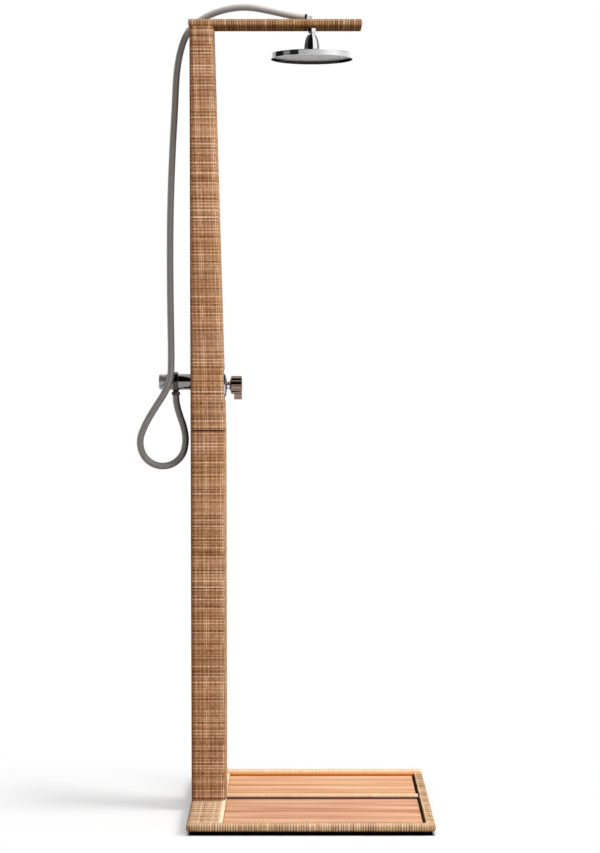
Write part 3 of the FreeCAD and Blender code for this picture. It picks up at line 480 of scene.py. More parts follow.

# %% [markdown]
# ## The colours of cane
# Cane isn't of one colour: each strand has its own tone, rows go light and dark in turn, and some upright
# strands are bleached. One random cloud over everything would run across the strands and look like
# dirt. So the finish reads the skin's own map, finds the row and the stake, and draws a number for each.
# Each weave also has painted shade and light: darker where strands bend round an edge, at a foot, along a
# groove, and paler along some lit edges.

# %% Weave finish
def cane_weave(name, palette, painted_light, swing=0.26, own=0.36, patch=0.3, upright=0.1, column_tone=0.14,
               light_column=0.5, column_share=0.45, gap=0.7, gap_from=0.45, olive=0.3, broad=0.2,
               gloss=0.0, seed=0.0):
    """Colours follow the strands: row and column numbers come with the skin's own map."""
    f = new_finish(name)
    x, y, z = f.split(f.place())
    stake_at, lane, _ = f.split(f.make("ShaderNodeUVMap", {"uv_map": "strands"}))
    stake = stake_at + 0.5
    row = lane.floor()
    column = stake.floor()
    row_side = abs(lane.part() * 2 - 1)
    column_side = abs(stake.part() * 2 - 1)
    pale_row = 1 - ((row / 2).part() > 0.25) * 2
    pale_column = 1 - ((column / 2).part() > 0.25) * 2
    on_top = (((row + column) / 2).part() > 0.25) * (column_side < column_share)
    # The tone of a row: light and dark in turn, a number of its own, and patches along it.
    row_own = pale_row * swing * (0.1 + f.chance(row, 1.0, seed)) + (f.chance(row, 6.0, seed) - 0.5) * own
    row_own = row_own + (f.noise(f.join(row * 3.7, stake * 0.12, seed), 1.0) - 0.5) * patch
    # The tone of a column: a number of its own, a few bleached ones that come and go, and patches.
    shown = f.noise(f.join(column * 5.9, lane * 0.05, seed + 7), 1.0, 1.0).ramp(0.38, 0.62) + 0.15
    bleached = f.chance(column, 8.0, seed) ** 3 * (column_side < 0.5) * shown * light_column
    column_own = (f.chance(column, 2.0, seed) - 0.5) * column_tone + bleached
    patches = f.noise(f.join(column * 4.3, lane * 0.06, seed + 5), 1.0) - 0.5
    column_own = column_own + patches * column_tone
    # Flecks where strands cross, and broad clouds over all of it.
    fleck = (f.chance(row, column, seed + 9) - 0.5) * 0.16
    cloud = (f.noise(f.join(x * 3, y * 3, z * 7), 1.6) - 0.5) * broad
    tone = 0.5 + row_own * (1 - on_top * 0.5) + column_own + on_top * pale_column * upright + fleck + cloud
    # Painted shade darkens the gaps between strands.
    row_gap = row_side.ramp(gap_from, 1.0) * (0.4 + 0.6 * f.chance(row, 7.0, seed)) * (1 - on_top * 0.6)
    column_gap = column_side.ramp(0.5, 1.0) * (0.1 + 0.45 * f.chance(column, 4.0, seed))
    gap_shade = row_gap.math("MAXIMUM", column_gap)
    colour = f.shade(f.colours(tone, *palette), 1 - gap_shade * gap)
    hue = f.noise(f.join(x * 4, y * 4, z * 9 + seed), 1.3).ramp(0.4, 0.6)
    colour = f.blend(hue * olive, colour, linear((250, 250, 226)), "MULTIPLY")
    fibre = f.noise(f.join(x * 900, y * 900, z * 900), 1.0)
    # painted_light adds the painted shade and highlights of each weave.
    return f.surface(Base_Color=painted_light(f, colour, x, y, z), Roughness=0.55 + gap_shade * 0.3,
                     Normal=f.bump(fibre, 0.0001), Specular_IOR_Level=gloss)


# %% Painted shade and light of the post and the arm
# The brown is the colour of painted shade, the cream that of painted highlights.
shade_brown = linear((84, 34, 12))
highlight_cream = linear((255, 230, 198))


def post_painted_light(f, colour, x, y, z):
    """Painted shade where the strands bend round the left front edge, at the foot and along the seam; painted
    light, greyer, along the right edge.
    """
    rounding = 7.5
    front = y < mm(rounding - post_half_deep)
    lean = ((z - mm(seam_height)) * (post_narrowing / upper_rise)).math("MAXIMUM", 0.0)
    from_right = mm(post_right) - lean - x
    from_left = x + mm(half_tray)
    # Painted shade round the left front edge, at the foot and along the seam; painted light along the right
    # rounded edge.
    bend = (1 - from_left.ramp(0.007, 0.017)) * 0.4
    edge = (1 - from_left.ramp(0.0025, 0.0075)) * 0.82
    left = bend.math("MAXIMUM", edge) * front
    right = (1 - from_right.ramp(0.001, 0.008)) * front * 0.4
    foot = (1 - z.ramp(mm(rail_top - 2), mm(rail_top + 12))) * 0.6
    seam = (abs(z - mm(seam_height)) < 0.0032) * 0.75
    darkened = f.blend(left.math("MAXIMUM", foot).math("MAXIMUM", seam), colour, shade_brown)
    return f.blend(right, darkened, linear((150, 122, 84)))


def arm_painted_light(f, colour, x, y, z):
    """Painted highlight along the top of the front, painted shade underneath and round the end over the post.
    """
    # Painted shade below and at the left end, painted highlight on the upper front.
    below = 1 - z.ramp(mm(post_top), mm(post_top + 3))
    lower = 1 - z.ramp(mm(post_top + 2.5), mm(post_top + 10.5))
    left_end = 1 - (x - mm(arm_left)).ramp(0.003, 0.011)
    upper = z.ramp(mm(post_top + 8.5), mm(post_top + 16.5))
    darkened = f.blend(below * 0.14 + (lower - below) * 0.25, colour, linear((110, 62, 18)))
    darkened = f.blend(left_end * 0.45, darkened, shade_brown)
    return f.blend(upper * 0.16, darkened, linear((255, 214, 186)))


# The colours of painted shade and of painted highlight.
print("painted_shade", shade_brown, "bleach", highlight_cream)


# %% Painted shade and light of the rails
def rail_painted_light(f, colour, x, y, z):
    """Painted highlight along the top of the front, painted shade at its foot and toward its left end."""
    # Painted shade at the foot and the left end, painted highlight along the top.
    foot = 1 - z.ramp(mm(rail_foot - 0.5), mm(rail_foot + 5.5))
    lower = 1 - z.ramp(mm(rail_foot + 7), mm(rail_foot + 14))
    left_end = 1 - (x + mm(half_tray)).ramp(0.004, 0.03)
    upper = z.ramp(mm(rail_top - 3.5), mm(rail_top - 0.5))
    darkened = f.blend(foot * 0.5 + lower * 0.12, colour, shade_brown)
    darkened = f.blend(left_end * 0.4, darkened, shade_brown)
    return f.blend(upper * 0.2, darkened, highlight_cream)


def side_painted_light(f, colour, x, y, z):
    """On the left rail a painted highlight along the inner edge, painted shadow at the post's foot and
    painted shade on the outer edge; on the right one painted shade in its groove.
    """
    on_left_rail = x < -0.2
    on_right_rail = x > 0.3
    # Painted highlight on the left rail's inner edge; painted shadow and painted shade below.
    strip = x.ramp(mm(post_right - 19.5), mm(post_right - 4.5)) * on_left_rail * 0.85
    beside_foot = 1 - (y * -1).ramp(mm(post_half_deep - 1), mm(post_half_deep + 15))
    in_front = (y < mm(0.1 - post_half_deep)) * (y > -0.2)
    foot = beside_foot * in_front * on_left_rail * 0.5
    outer = (1 - (x + mm(half_tray)).ramp(0.0, 0.016)) * 0.42
    low = 1 - z.ramp(mm(rail_top - 6), mm(rail_top - 1))
    inner_edge = 1 - x.ramp(mm(right_rail_inner + 2.8), mm(right_rail_inner + 4.8))
    groove = on_right_rail * low.math("MAXIMUM", inner_edge) * (x < mm(right_rail_inner + 6)) * 0.92
    darkened = f.blend(foot.math("MAXIMUM", outer), colour, shade_brown)
    return f.blend(groove, f.blend(strip, darkened, highlight_cream), linear((34, 14, 5)))


def inner_painted_shade(front_edge, start, end, most, painted_shade, depth):
    """Painted shade: the walls toward the boards darken downwards into the groove, as does the front of the
    top.
    """
    def painted_light(f, colour, x, y, z):
        # Painted shade deep in the groove and on the front edge of the top.
        deep = (1 - z.ramp(mm(rail_top - 7.5), mm(rail_top - 1.5))) * (y < mm(front_edge + 3.5))
        edge = (1 - y.ramp(mm(front_edge + start), mm(front_edge + end))) * most
        return f.blend(deep, f.blend(edge, colour, linear(painted_shade)), linear(depth))
    return painted_light


back_painted_shade = inner_painted_shade(back_rail_front, start=3, end=24, most=0.6, painted_shade=(190, 102, 14), depth=(178, 88, 4))
divider_painted_shade = inner_painted_shade(divider_front, start=0, end=16, most=0.36, painted_shade=(140, 66, 20), depth=(66, 14, 0))
print("grooves at", right_rail_inner, back_rail_front, divider_front)

# %% The weaves
# The palettes differ partly as painted light: darker for the upright post and arm, paler for the rails' tops,
# palest for the back rail and divider; the rest is the cane's own tone.
post_palette = [(86, 46, 20), (132, 88, 54), (171, 123, 88), (204, 158, 122), (234, 193, 158)]
arm_palette = [(86, 42, 20), (140, 90, 58), (176, 132, 95), (200, 160, 120), (230, 194, 160)]
rail_palette = [(124, 82, 52), (180, 136, 102), (212, 173, 138), (230, 197, 163), (246, 222, 192)]
cream_palette = [(222, 170, 124), (240, 196, 152), (248, 212, 172), (253, 222, 186), (255, 230, 200)]
wound_look = dict(swing=0.1, upright=0.05, column_tone=0.1, light_column=0.1, column_share=0.1, patch=0.15)
cream_look = dict(swing=0.1, own=0.2, patch=0.1, column_tone=0.1, column_share=0.1, olive=0.2)

post_weave = cane_weave("post_weave", post_palette, post_painted_light, gloss=0.2)
arm_weave = cane_weave("arm_weave", arm_palette, arm_painted_light, own=0.32, gap=1.0, gap_from=0.25, olive=0.9,
                       broad=0.1, seed=20.0, **wound_look)
front_weave = cane_weave("front_weave", rail_palette, rail_painted_light, own=0.25, gap=0.95, gap_from=0.25,
                         broad=0.3, seed=40.0, **wound_look)
side_weave = cane_weave("side_weave", rail_palette, side_painted_light, swing=0.28, own=0.3, patch=0.2,
                        column_tone=0.25, light_column=0.2, column_share=0.5, gap=0.75, seed=60.0)
back_weave = cane_weave("back_weave", cream_palette, back_painted_shade, gap=0.2, seed=80.0, **cream_look)
divider_weave = cane_weave("divider_weave", cream_palette, divider_painted_shade, gap=0.25, seed=90.0, **cream_look)
print("weaves", [m.name for m in bpy.data.materials if m.name.endswith("_weave")])


# %% Giving pieces their finish
def dress(finish, *names):
    """Gives CAD nodes their finish."""
    for name in names:
        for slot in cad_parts[name].material_slots:
            slot.material = finish
    print(finish.name, "on", ", ".join(names))


def fit(piece, body, finish, slot, *nodes):
    """The piece rides on its body, stands for its CAD nodes and gets its finish."""
    piece.data.materials.clear()
    piece.data.materials.append(finish)
    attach(piece, body)
    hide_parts(*nodes)
    piece.visible_glossy = slot != "cane_weave"
    bpy.ops.object.select_all(action="DESELECT")
    print(piece.name, len(piece.data.polygons), "faces")


# %% Skins of the post
def tapered(z):
    """Half width, half depth, edge radii and sideways shift of the post; only its right side leans in."""
    share = max(0.0, (z - seam_height) / upper_rise)
    width = post_wide - post_narrowing * share
    return width / 2, post_half_deep, [7 + 5 * share] * 4, (width - post_wide) / 2


def on_rail(x, y, z):
    """Lets the lowest rows follow the rounded edge of the rail under the post."""
    deepest = 4.9
    fades_over = 14
    edge = min(x + half_tray, rail_edge)
    drop = min(rail_edge - math.sqrt(max(rail_edge ** 2 - (rail_edge - edge) ** 2, 0)), deepest)
    return z - drop * max(0.0, 1 - (z - rail_top) / fades_over)


post_rows = dict(row_pitch=4.6, stakes=74, fineness=(2, 2))
lower_skin = woven_skin("post_lower_skin", "Z", (post_middle, 0, 0), tapered, (32.1, 1119.2), settle=on_rail,
                        seed=3, **post_rows)
fit(lower_skin, "stand", post_weave, "cane_weave", "post_lower_weave")
upper_skin = woven_skin("post_upper_skin", "Z", (post_middle, 0, 0), tapered, (1120.8, 2286.4), seed=4,
                        **post_rows)
fit(upper_skin, "stand", post_weave, "cane_weave", "post_upper_weave")

# %% Skins of the arm and the rails
ends_closed = dict(fold=rail_edge, cap=9.7, wave=0.15)
across = (-half_tray, half_tray)
front_to_back = (-319.9, 287.9)

arm_skin = woven_skin("arm_skin", "X", (0, 0, post_top + 10), same_all_along(65, 10, [5] * 4),
                      (arm_left, 149), 7.5, 36, fineness=(5, 2), fold=5, cap=9.7, relief=1.1, wave=0.12,
                      seed=5)
fit(arm_skin, "stand", arm_weave, "cane_weave", "arm_weave")
front_skin = woven_skin("front_rail_skin", "X", (0, -335, rail_middle), same_all_along(15, 10, rail_radii),
                        across, 7.2, 12, seed=6, **ends_closed)
fit(front_skin, "stand", front_weave, "cane_weave", "front_rail_weave")
back_skin = woven_skin("back_rail_skin", "X", (0, 319, rail_middle), same_all_along(31, 10, rail_radii),
                       across, 6.2, 20, seed=7, **ends_closed)
fit(back_skin, "stand", back_weave, "cane_weave", "back_rail_weave")
bar_skin = woven_skin("divider_skin", "X", (0, 8, rail_middle), same_all_along(16, 10, rail_radii),
                      (-248.4, 319.9), 6.2, 12, wave=0.15, seed=8)
fit(bar_skin, "stand", divider_weave, "cane_weave", "divider_weave")
left_skin = woven_skin("left_rail_skin", "Y", (post_middle, 0, rail_middle),
                       same_all_along(post_wide / 2, 10, rail_radii), front_to_back, 13.0, 36,
                       wave=0.5, seed=9)
fit(left_skin, "stand", side_weave, "cane_weave", "left_rail_weave")
right_skin = woven_skin("right_rail_skin", "Y", (335, 0, rail_middle), same_all_along(15, 10, rail_radii),
                        front_to_back, 13.0, 12, wave=0.5, seed=10)
fit(right_skin, "stand", side_weave, "cane_weave", "right_rail_weave")

# %% [markdown]
# ## Cedar boards
# The slats are planed cedar: straight grain along their length, each slat sawn from another place and
# so a little redder or yellower. A stretched cloud gives the grain; the slat's number is found from
# its place across the board.

# %% Cedar finish
slats_per_board = 4


def cedar(name, palette, front_edge, pitch, shade_width, seed):
    """front_edge is where the first slat starts and pitch is one slat with its gap, both across the board."""
    f = new_finish(name)
    x, y, z = f.split(f.place())
    across_board = (y - front_edge) / pitch
    slat = across_board.floor()
    own = f.chance(slat, 3.0, seed) - 0.5
    wander = f.noise(f.join(x * 2.0, y * 6, seed), 1.0) * 0.012
    strip = f.noise(f.join(x * 1.3, (y + wander) * 110 + own * 50, z * 110), 1.0, 2.0, 0.6)
    fine = f.noise(f.join(x * 5, (y + wander) * 420, z * 420), 1.0, 3.0, 0.6)
    broad = f.noise(f.join(x * 2.6, y * 30 + own * 9, seed), 1.0, 1.0)
    inside = across_board.part()
    # Painted shade toward each slat's edges and painted highlight across its middle.
    slat_edge_shade = 1 - (abs(inside - 0.5) * -1 + 0.5).ramp(0.0, 0.075)
    slat_highlight = inside.ramp(0.15, 0.6) * (1 - inside.ramp(0.8, 1.0)) * 0.16
    grain = 0.5 + (strip - 0.5) * 1.5 + (fine - 0.5) * 0.5 + (broad - 0.5) * 0.9 + own * 0.16 + slat_highlight - 0.06
    colour = f.shade(f.colours(grain, *palette), 1 - slat_edge_shade * 0.2)
    # Painted shadow along the board's back edge, under the wall behind it.
    rear = (y - (front_edge + slats_per_board * pitch)) * -1
    colour = f.blend((1 - rear.ramp(0.002, shade_width)) * 0.85, colour, linear((96, 36, 10)))
    gold = 1 - x.ramp(mm(post_right), mm(post_right + 43.5))
    colour = f.blend(gold * 0.8, colour, linear((255, 252, 236)), "MULTIPLY")
    return f.surface(Base_Color=colour, Roughness=0.45 + fine * 0.2, Normal=f.bump(fine + strip, 0.00025),
                     Specular_IOR_Level=0.3)


# The back board's palette is paler partly as painted light.
front_palette = [(118, 52, 26), (174, 109, 72), (202, 141, 102), (221, 166, 128), (240, 192, 156)]
back_palette = [(152, 82, 40), (200, 134, 86), (218, 156, 109), (232, 177, 132), (246, 198, 158)]
front_cedar = cedar("front_cedar", front_palette, front_edge=-0.3185, pitch=0.0771, shade_width=0.019,
                    seed=3.0)
back_cedar = cedar("back_cedar", back_palette, front_edge=0.0275, pitch=0.0646, shade_width=0.008,
                   seed=11.0)
dress(front_cedar, *[f"front_slat_{k + 1}" for k in range(slats_per_board)])
dress(back_cedar, *[f"back_slat_{k + 1}" for k in range(slats_per_board)])

# %% [markdown]
# ## Metals
# Polished chrome has no colour of its own: it shows the room. What makes it look real is the room, so
# the work is in the light cards further down, and the finish itself only gets a breath of unevenness.
# Satin and plain steel scatter more. Each could be one shader with a number, but fine scratches
# that run one way are what tells turned metal from paint.

# %% Metal finishes
head_axis = (3.5, 0, 0)


def metal(name, colour, smoothest, roughest, scratch=0.00002, metallic=1.0, shadow=None):
    """shadow, where it is given, is a rule for how much of the colour stays at a place."""
    f = new_finish(name)
    whole = f.place()
    x, y, z = f.split(whole)
    smear = f.noise(whole, 14.0)
    lines = f.noise(f.join(x * 0.2, y, z), 300.0, 3.0)
    tone = f.colours(smear, tuple(c * 0.94 for c in colour), colour)
    if shadow:
        tone = f.shade(tone, shadow(x, y, z))
    return f.surface(Base_Color=tone, Metallic=metallic, Roughness=smoothest + lines * (roughest - smoothest),
                     Normal=f.bump(lines, scratch))


def rim_painted_shade(x, y, z):
    """Painted shade: inside the rim and below the face the inner wall of the head goes almost black."""
    rim_radius = 0.1187
    face_height = 2.2069
    sideways = x - mm(head_axis[0])
    from_axis = (sideways * sideways + y * y) ** 0.5
    return 1 - (from_axis < rim_radius) * (z < face_height) * 0.97


chrome = metal("chrome", (232, 232, 233), 0.02, 0.04, scratch=0.000002)
head_chrome = metal("head_chrome", (232, 232, 233), 0.02, 0.03, scratch=0.0000005, shadow=rim_painted_shade)
dark_chrome = metal("dark_chrome", (142, 138, 136), 0.05, 0.10)
knob_chrome = metal("knob_chrome", (156, 138, 126), 0.05, 0.10)
black_chrome = metal("black_chrome", (78, 74, 72), 0.08, 0.14)
satin = metal("satin_chrome", (168, 168, 170), 0.24, 0.34, scratch=0.00004, metallic=0.75)
pearl = metal("pearl_chrome", (236, 236, 236), 0.3, 0.4, metallic=0.5)
steel = metal("stainless_steel", (190, 188, 184), 0.22, 0.4, scratch=0.00005)
brass = metal("brass", (206, 168, 96), 0.2, 0.36, scratch=0.00005)
dress(chrome, "rosette", "stem", "cartridge_sleeve", "neck_nut", "ball_stud")
dress(knob_chrome, "knob")
dress(black_chrome, "outlet_collar", "hose_nut")
dress(pearl, "elbow")
dress(steel, "rail_screws", "front_board_screws", "back_board_screws", "foot_bolts", "spigot_bolts",
      "arm_bolts", "supply_pipe", "spindle")
dress(brass, "inlet_elbow", "inlet_locknut", "valve_body")

# %% [markdown]
# ## Paint, rubber, plastic and timber
# The base plate and the tubes inside the post are black painted steel; the pads and runners are black
# rubber, the nozzles a pale one; the cores under the cane are timber. Each could have a recipe of its
# own, but they differ only in colour, in how rough they are and in how coarse their grain is, so one
# recipe with these as numbers serves them all.

# %% Dull finishes
def dull(name, first, second, rough, grain_scale, depth, gloss=0.35):
    f = new_finish(name)
    whole = f.place()
    grain = f.noise(whole, grain_scale, 3.0)
    dust = f.noise(whole, 30.0, 3.0)
    return f.surface(Base_Color=f.colours(dust, first, second), Roughness=rough + grain * 0.15,
                     Normal=f.bump(grain, depth), Specular_IOR_Level=gloss)


black_steel = dull("black_steel", (6, 5, 5), (14, 12, 11), 0.6, 700.0, 0.00006, gloss=0.05)
black_rubber = dull("black_rubber", (6, 6, 6), (14, 13, 13), 0.75, 900.0, 0.0001, gloss=0.05)
black_plastic = dull("black_plastic", (6, 6, 7), (14, 14, 15), 0.3, 500.0, 0.00003, gloss=0.1)
white_plastic = dull("white_plastic", (214, 214, 210), (232, 232, 228), 0.35, 500.0, 0.00003)
timber = dull("timber_core", (186, 148, 104), (214, 178, 132), 0.6, 200.0, 0.0001)
nozzle_rubber = dull("nozzle_rubber", (214, 214, 214), (226, 226, 226), 0.5, 900.0, 0.00005)
timber_pieces = ("front_rail", "back_rail", "left_rail", "right_rail", "divider", "arm")
dress(black_steel, "base_plate", "post_lower_core", "post_upper_core", "joining_spigot")
dress(black_rubber, "base_pads", "front_board_runners", "back_board_runners")
dress(black_plastic, "hose_ferrule")
dress(white_plastic, "cartridge", "ball_liner", "ball_seat")
dress(timber, *[f"{name}_core" for name in timber_pieces])
dress(nozzle_rubber, "nozzles")
for name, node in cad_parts.items():
    if name.endswith("_core"):
        node.visible_glossy = False

# %% [markdown]
# ## The hose's grey
# The hose is one plain grey plastic, but it is seen light where it faces up over the arm and dark where
# it faces the post. Lamps alone could give this, and then it would change with them. Here the finish
# reads which way the surface faces, and darkens or bleaches it by the place along the hose, because the
# plain light of this scene is too even for it. The price is that this shade stays under any other light.

# %% Hose finish
nut_height = 1.22
loop_left = -0.425
loop_right = -0.385


def hose_finish():
    f = new_finish("hose_grey")
    whole = f.place()
    x, _, z = f.split(whole)
    cloud = f.noise(whole, 9.0)
    fine = f.noise(whole, 700.0)
    colour = f.colours(cloud, (104, 99, 95), (117, 112, 107))
    facing_x, _, facing_z = f.split(f.make("ShaderNodeTexCoord", output="Normal"))
    # Light on top over the arm and a little on the left, darker on the right.
    over_arm = facing_z.ramp(-0.6, 0.8) * z.ramp(2.27, 2.31) * 0.72
    left = (facing_x * -1).ramp(0.45, 1.0) * 0.3
    colour = f.blend(over_arm.math("MAXIMUM", left), colour, linear((232, 228, 224)))
    colour = f.shade(colour, 1 - facing_x.ramp(0.55, 1.0) * 0.3)
    # Dark where the loop faces the post, and just under the arm.
    beside_post = (z < nut_height) * x.ramp(loop_left, loop_right)
    colour = f.shade(colour, 1 - beside_post * facing_x.ramp(-0.7, 0.95) * 0.84)
    under_arm = z.ramp(1.8, 2.1) * (1 - z.ramp(2.26, 2.32)) * (x < -0.34)
    colour = f.shade(colour, 1 - under_arm * facing_x.ramp(0.1, 0.85) * 0.8)
    return f.surface(Base_Color=colour, Roughness=0.4 + fine * 0.04, Normal=f.bump(fine, 0.00001),
                     Specular_IOR_Level=0.6)


hose.data.materials.append(hose_finish())
print("hose in", hose.data.materials[0].name)

# %% [markdown]
# ## The head's face
# The face between the nozzles is a satin grey plate, half metal and half paint to the eye. Plain chrome
# would only show the floor below it, so the face gets a colour of its own and only a little metal.

# %% Head face finish
def face_finish():
    f = new_finish("face_grey")
    whole = f.place()
    fine = f.noise(whole, 800.0)
    cloud = f.noise(whole, 12.0)
    return f.surface(Base_Color=f.colours(cloud, (192, 192, 190), (204, 204, 202)), Metallic=0.2,
                     Roughness=0.4 + fine * 0.08, Normal=f.bump(fine, 0.00002))


face_grey = face_finish()
print("face in", face_grey.name)

# %% [markdown]
# ## Turned pieces
# The head, its face, the bell, the outlet bar and its end cap are all made on a lathe. A lathe can be
# copied here by starting from a flat ring and pulling it along the axis, one step at a time, each step
# with its own radius. Spinning a drawn outline would do as well, but the steps can be read as a list.
# On the shell, the bar and the cap a bevel then breaks the sharp corners, because a machined edge
# always catches a thin line of light.

# %% The lathe
def turned(name, rings, centre, axis="Z", soften=0.0, sides=96, hollow=False):
    """rings are (radius, height) in millimetres from end to end; a hollow piece comes back to its start."""
    first = rings[0]
    bpy.ops.mesh.primitive_circle_add(vertices=sides, radius=mm(first[0]), location=(0, 0, mm(first[1])),
                                      fill_type="NOTHING" if hollow else "NGON")
    piece = bpy.context.object
    piece.name = name
    bpy.ops.object.transform_apply(location=True)
    bpy.ops.object.mode_set(mode="EDIT")
    for before, after in zip(rings, rings[1:] + ([first] if hollow else [])):
        bpy.ops.mesh.extrude_region_move(TRANSFORM_OT_translate={"value": (0, 0, mm(after[1] - before[1]))})
        ratio = after[0] / before[0]
        bpy.ops.transform.resize(value=(ratio, ratio, 1), center_override=(0, 0, mm(after[1])))
    bpy.ops.mesh.select_all(action="SELECT")
    bpy.ops.mesh.remove_doubles(threshold=0.000001)
    bpy.ops.mesh.normals_make_consistent(inside=False)
    bpy.ops.object.mode_set(mode="OBJECT")
    if soften:
        edge = piece.modifiers.new("edge", "BEVEL")
        edge.width = soften
        edge.segments = 3
        edge.limit_method = "ANGLE"
        edge.angle_limit = math.radians(50)
        bpy.ops.object.modifier_apply(modifier="edge")
    piece.rotation_euler = {"Z": (0, 0, 0), "X": (0, math.pi / 2, 0)}[axis]
    piece.location = [mm(c) for c in centre]
    bpy.ops.object.transform_apply(location=True, rotation=True)
    bpy.ops.object.shade_smooth_by_angle(angle=math.radians(40))
    return piece


# %% Head and face
head_rings = [(118.3, 2207.0), (118.3, 2197.6), (119.9, 2197.5), (120.0, 2198.2), (120.0, 2211.9),
              (120.0, 2212.4), (119.7, 2213.1), (119.0, 2213.4), (24.0, 2213.5)]
face_rings = [(118.2, 2208.9), (118.2, 2207.0), (112.0, 2206.9)]
head = turned("rain_head_shell", head_rings, head_axis, soften=0.0003, sides=160)
fit(head, "head", head_chrome, "chrome", "head_shell")
plate = turned("rain_head_plate", face_rings, head_axis, sides=160)
fit(plate, "head", face_grey, "face_grey", "face_plate")


# %% Bell
def bell_rings(foot, top, steps):
    """Points up the outside of a bell that leans in more and more toward its top."""
    radius = 23.3
    height = 62.8
    roundness = 2.6
    rings = []
    for k in range(steps + 1):
        z = foot + (top - foot) * math.sin(math.pi / 2 * k / steps)
        rings.append((radius * math.sqrt(1 - ((z - foot) / height) ** roundness), z))
    return rings


bell_wall = 2.0
bell_out = bell_rings(2213.6, 2267.6, 20)
bell_in = [(r - bell_wall, z - 1.0) for r, z in reversed(bell_rings(2214.6, 2267.4, 10))]
bell = turned("bell_cover", bell_out + bell_in, head_axis, hollow=True)
fit(bell, "head", chrome, "chrome", "bell")

# %% Outlet bar and its end cap
bar_height = 1259.5
bar_rings = [(23.7, 0), (23.7, 71.0)]
cap_rings = [(18.0, 0.5), (22.4, 1.2), (22.4, 23.0)]
bar = turned("outlet_tube", bar_rings, (-421, 0, bar_height), axis="X", soften=0.0006)
fit(bar, "stand", dark_chrome, "chrome", "outlet_bar")
cap = turned("bar_end", cap_rings, (-444.5, 0, bar_height), axis="X", soften=0.0022)
fit(cap, "stand", satin, "satin_chrome", "bar_end_cap")

# %% [markdown]
# ## Floor, room and lamps
# The shower stands in a white studio. A white floor under plain light keeps the soft shadow; further
# out it turns to the same white as the wall behind, as a paper roll does. The lamps give the object
# the light at which a colour looks as it was mixed. What polished metal shows is painted into the
# room instead of being built: cards of grey side by side, one row low down and one above it.

# %% Floor
bpy.ops.mesh.primitive_grid_add(x_subdivisions=8, y_subdivisions=8, size=60, location=(0, 0, 0))
floor = bpy.context.object
floor.name = "floor"
white = (1, 1, 1, 1)


def floor_finish():
    """Paper near the tray, a painted black shadow under it, and plain white further out for the camera and
    for mirrors.
    """
    f = new_finish("floor_white")
    x, y, _ = f.split(f.place())
    clear = (x * -1).ramp(0.7, 1.15).math("MAXIMUM", x.ramp(0.36, 0.7))
    clear = clear.math("MAXIMUM", y.ramp(0.15, 0.62)).math("MAXIMUM", (y * -1).ramp(0.36, 0.75))
    seen = f.make("ShaderNodeLightPath", output="Is Camera Ray")
    mirrored = f.make("ShaderNodeLightPath", output="Is Glossy Ray")
    shown = seen.math("MAXIMUM", mirrored)
    # Painted shadow: the paper turns black under the tray.
    outside_painted_shadow = abs(x).math("MAXIMUM", abs(y)).ramp(mm(half_tray - 10), mm(half_tray + 2))
    paper = f.make("ShaderNodeBsdfDiffuse", {}, {"Color": f.shade(linear((232, 232, 232)), outside_painted_shadow)})
    lift = f.make("ShaderNodeEmission", {}, {"Color": white, "Strength": outside_painted_shadow * 0.08})
    lifted = f.make("ShaderNodeAddShader", {}, {0: paper, 1: lift})
    dim = f.make("ShaderNodeBsdfDiffuse", {}, {"Color": linear((150, 148, 146))})
    far = f.make("ShaderNodeEmission", {}, {"Color": white, "Strength": 1.0})
    near = f.make("ShaderNodeMixShader", {}, {0: shown, 1: dim, 2: lifted})
    return f.close(f.make("ShaderNodeMixShader", {}, {0: clear * shown, 1: near, 2: far}))


floor.data.materials.append(floor_finish())
print("floor", floor.dimensions)


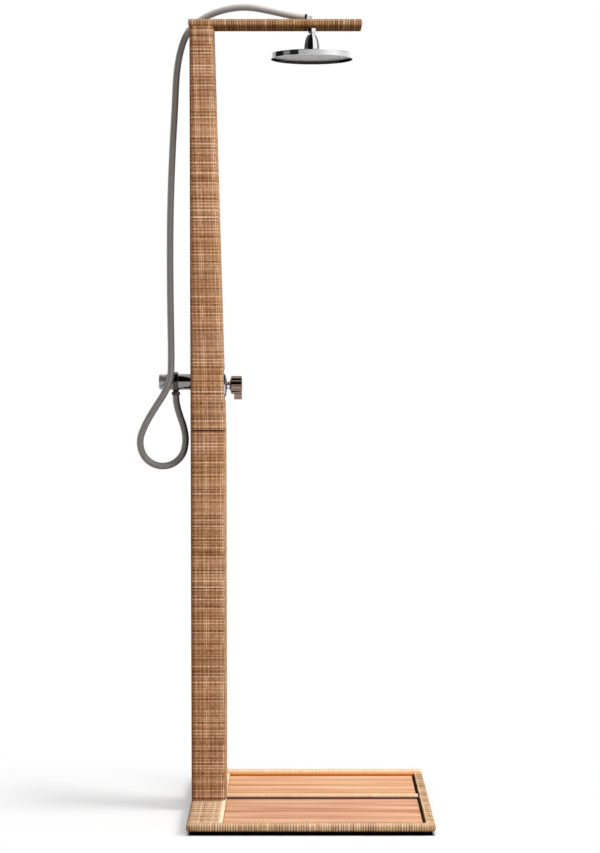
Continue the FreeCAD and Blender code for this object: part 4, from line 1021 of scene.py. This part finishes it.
# %% Room
def room():
    """Plain even light for matt pieces, grey cards for mirrors, and a white wall for the camera."""
    r = Finish(bpy.data.worlds.new("room"))
    x, y, z = r.split(r.make("ShaderNodeTexCoord", output="Generated"))
    degrees = 180 / math.pi
    # turn is 0 toward the camera, 90 to the right and -90 to the left; up is 0 at eye level.
    turn = x.math("ARCTAN2", y * -1) * degrees
    up = z.math("ARCSINE") * degrees
    high = up.ramp(7.33, 7.45)

    def card(start, end, soft=3.0):
        return turn.ramp(start - soft, start + soft) * (1 - turn.ramp(end - soft, end + soft))

    low_level = (0.52 + 0.2 * turn.ramp(-30, 10) + 0.48 * turn.ramp(10, 62) - 0.24 * card(80, 122, 14)
                 - card(-119, -86) * 0.51 - card(-86, -64) * 0.28 - card(-64, -37) * 0.50
                 + 0.65 * (1 - turn.ramp(-156, -132)))
    high_level = 1.15 - card(-142, -62) * 1.08 - card(-62, 20) * 1.145 - card(90, 142, 8) * 0.9
    level = low_level * (1 - high) + high_level * high
    even = r.make("ShaderNodeBackground", {}, {"Color": white, "Strength": 0.4})
    cards = r.make("ShaderNodeBackground", {}, {"Color": r.grey(level), "Strength": 1.0})
    wall = r.make("ShaderNodeBackground", {}, {"Color": white, "Strength": 1.0})
    seen = r.make("ShaderNodeLightPath", output="Is Camera Ray")
    mirrored = r.make("ShaderNodeLightPath", output="Is Glossy Ray")
    inner = r.make("ShaderNodeMixShader", {}, {0: mirrored, 1: even, 2: cards})
    final = r.make("ShaderNodeMixShader", {}, {0: seen, 1: inner, 2: wall})
    return r.close(final, "ShaderNodeOutputWorld")


scene.world = room()
print("room with", len(scene.world.node_tree.nodes), "nodes")


# %% Lamps
def soft_lamp(name, place, target, size, power):
    """A square lamp turned toward its target, which mirrors don't show."""
    light = bpy.data.lights.new(name, "AREA")
    light.shape = "SQUARE"
    light.size = size
    light.energy = power
    lamp = bpy.data.objects.new(name, light)
    lamp.location = place
    away = [b - a for a, b in zip(place, target)]
    level = math.hypot(away[0], away[1])
    lamp.rotation_euler = (math.atan2(level, -away[2]), 0, math.atan2(away[1], away[0]) - math.pi / 2)
    lamp.visible_glossy = False
    scene.collection.objects.link(lamp)


soft_lamp("key", (3.2, -0.6, 3.2), (-0.1, 0, 1.0), 1.8, 125)
soft_lamp("fill", (0.8, -4.4, 2.4), (-0.1, 0, 1.1), 3.0, 135)
soft_lamp("side", (-3.4, -0.6, 2.2), (-0.3, 0, 1.2), 1.6, 30)
soft_lamp("top", (0.0, 0.6, 4.8), (0, 0, 0), 2.4, 30)
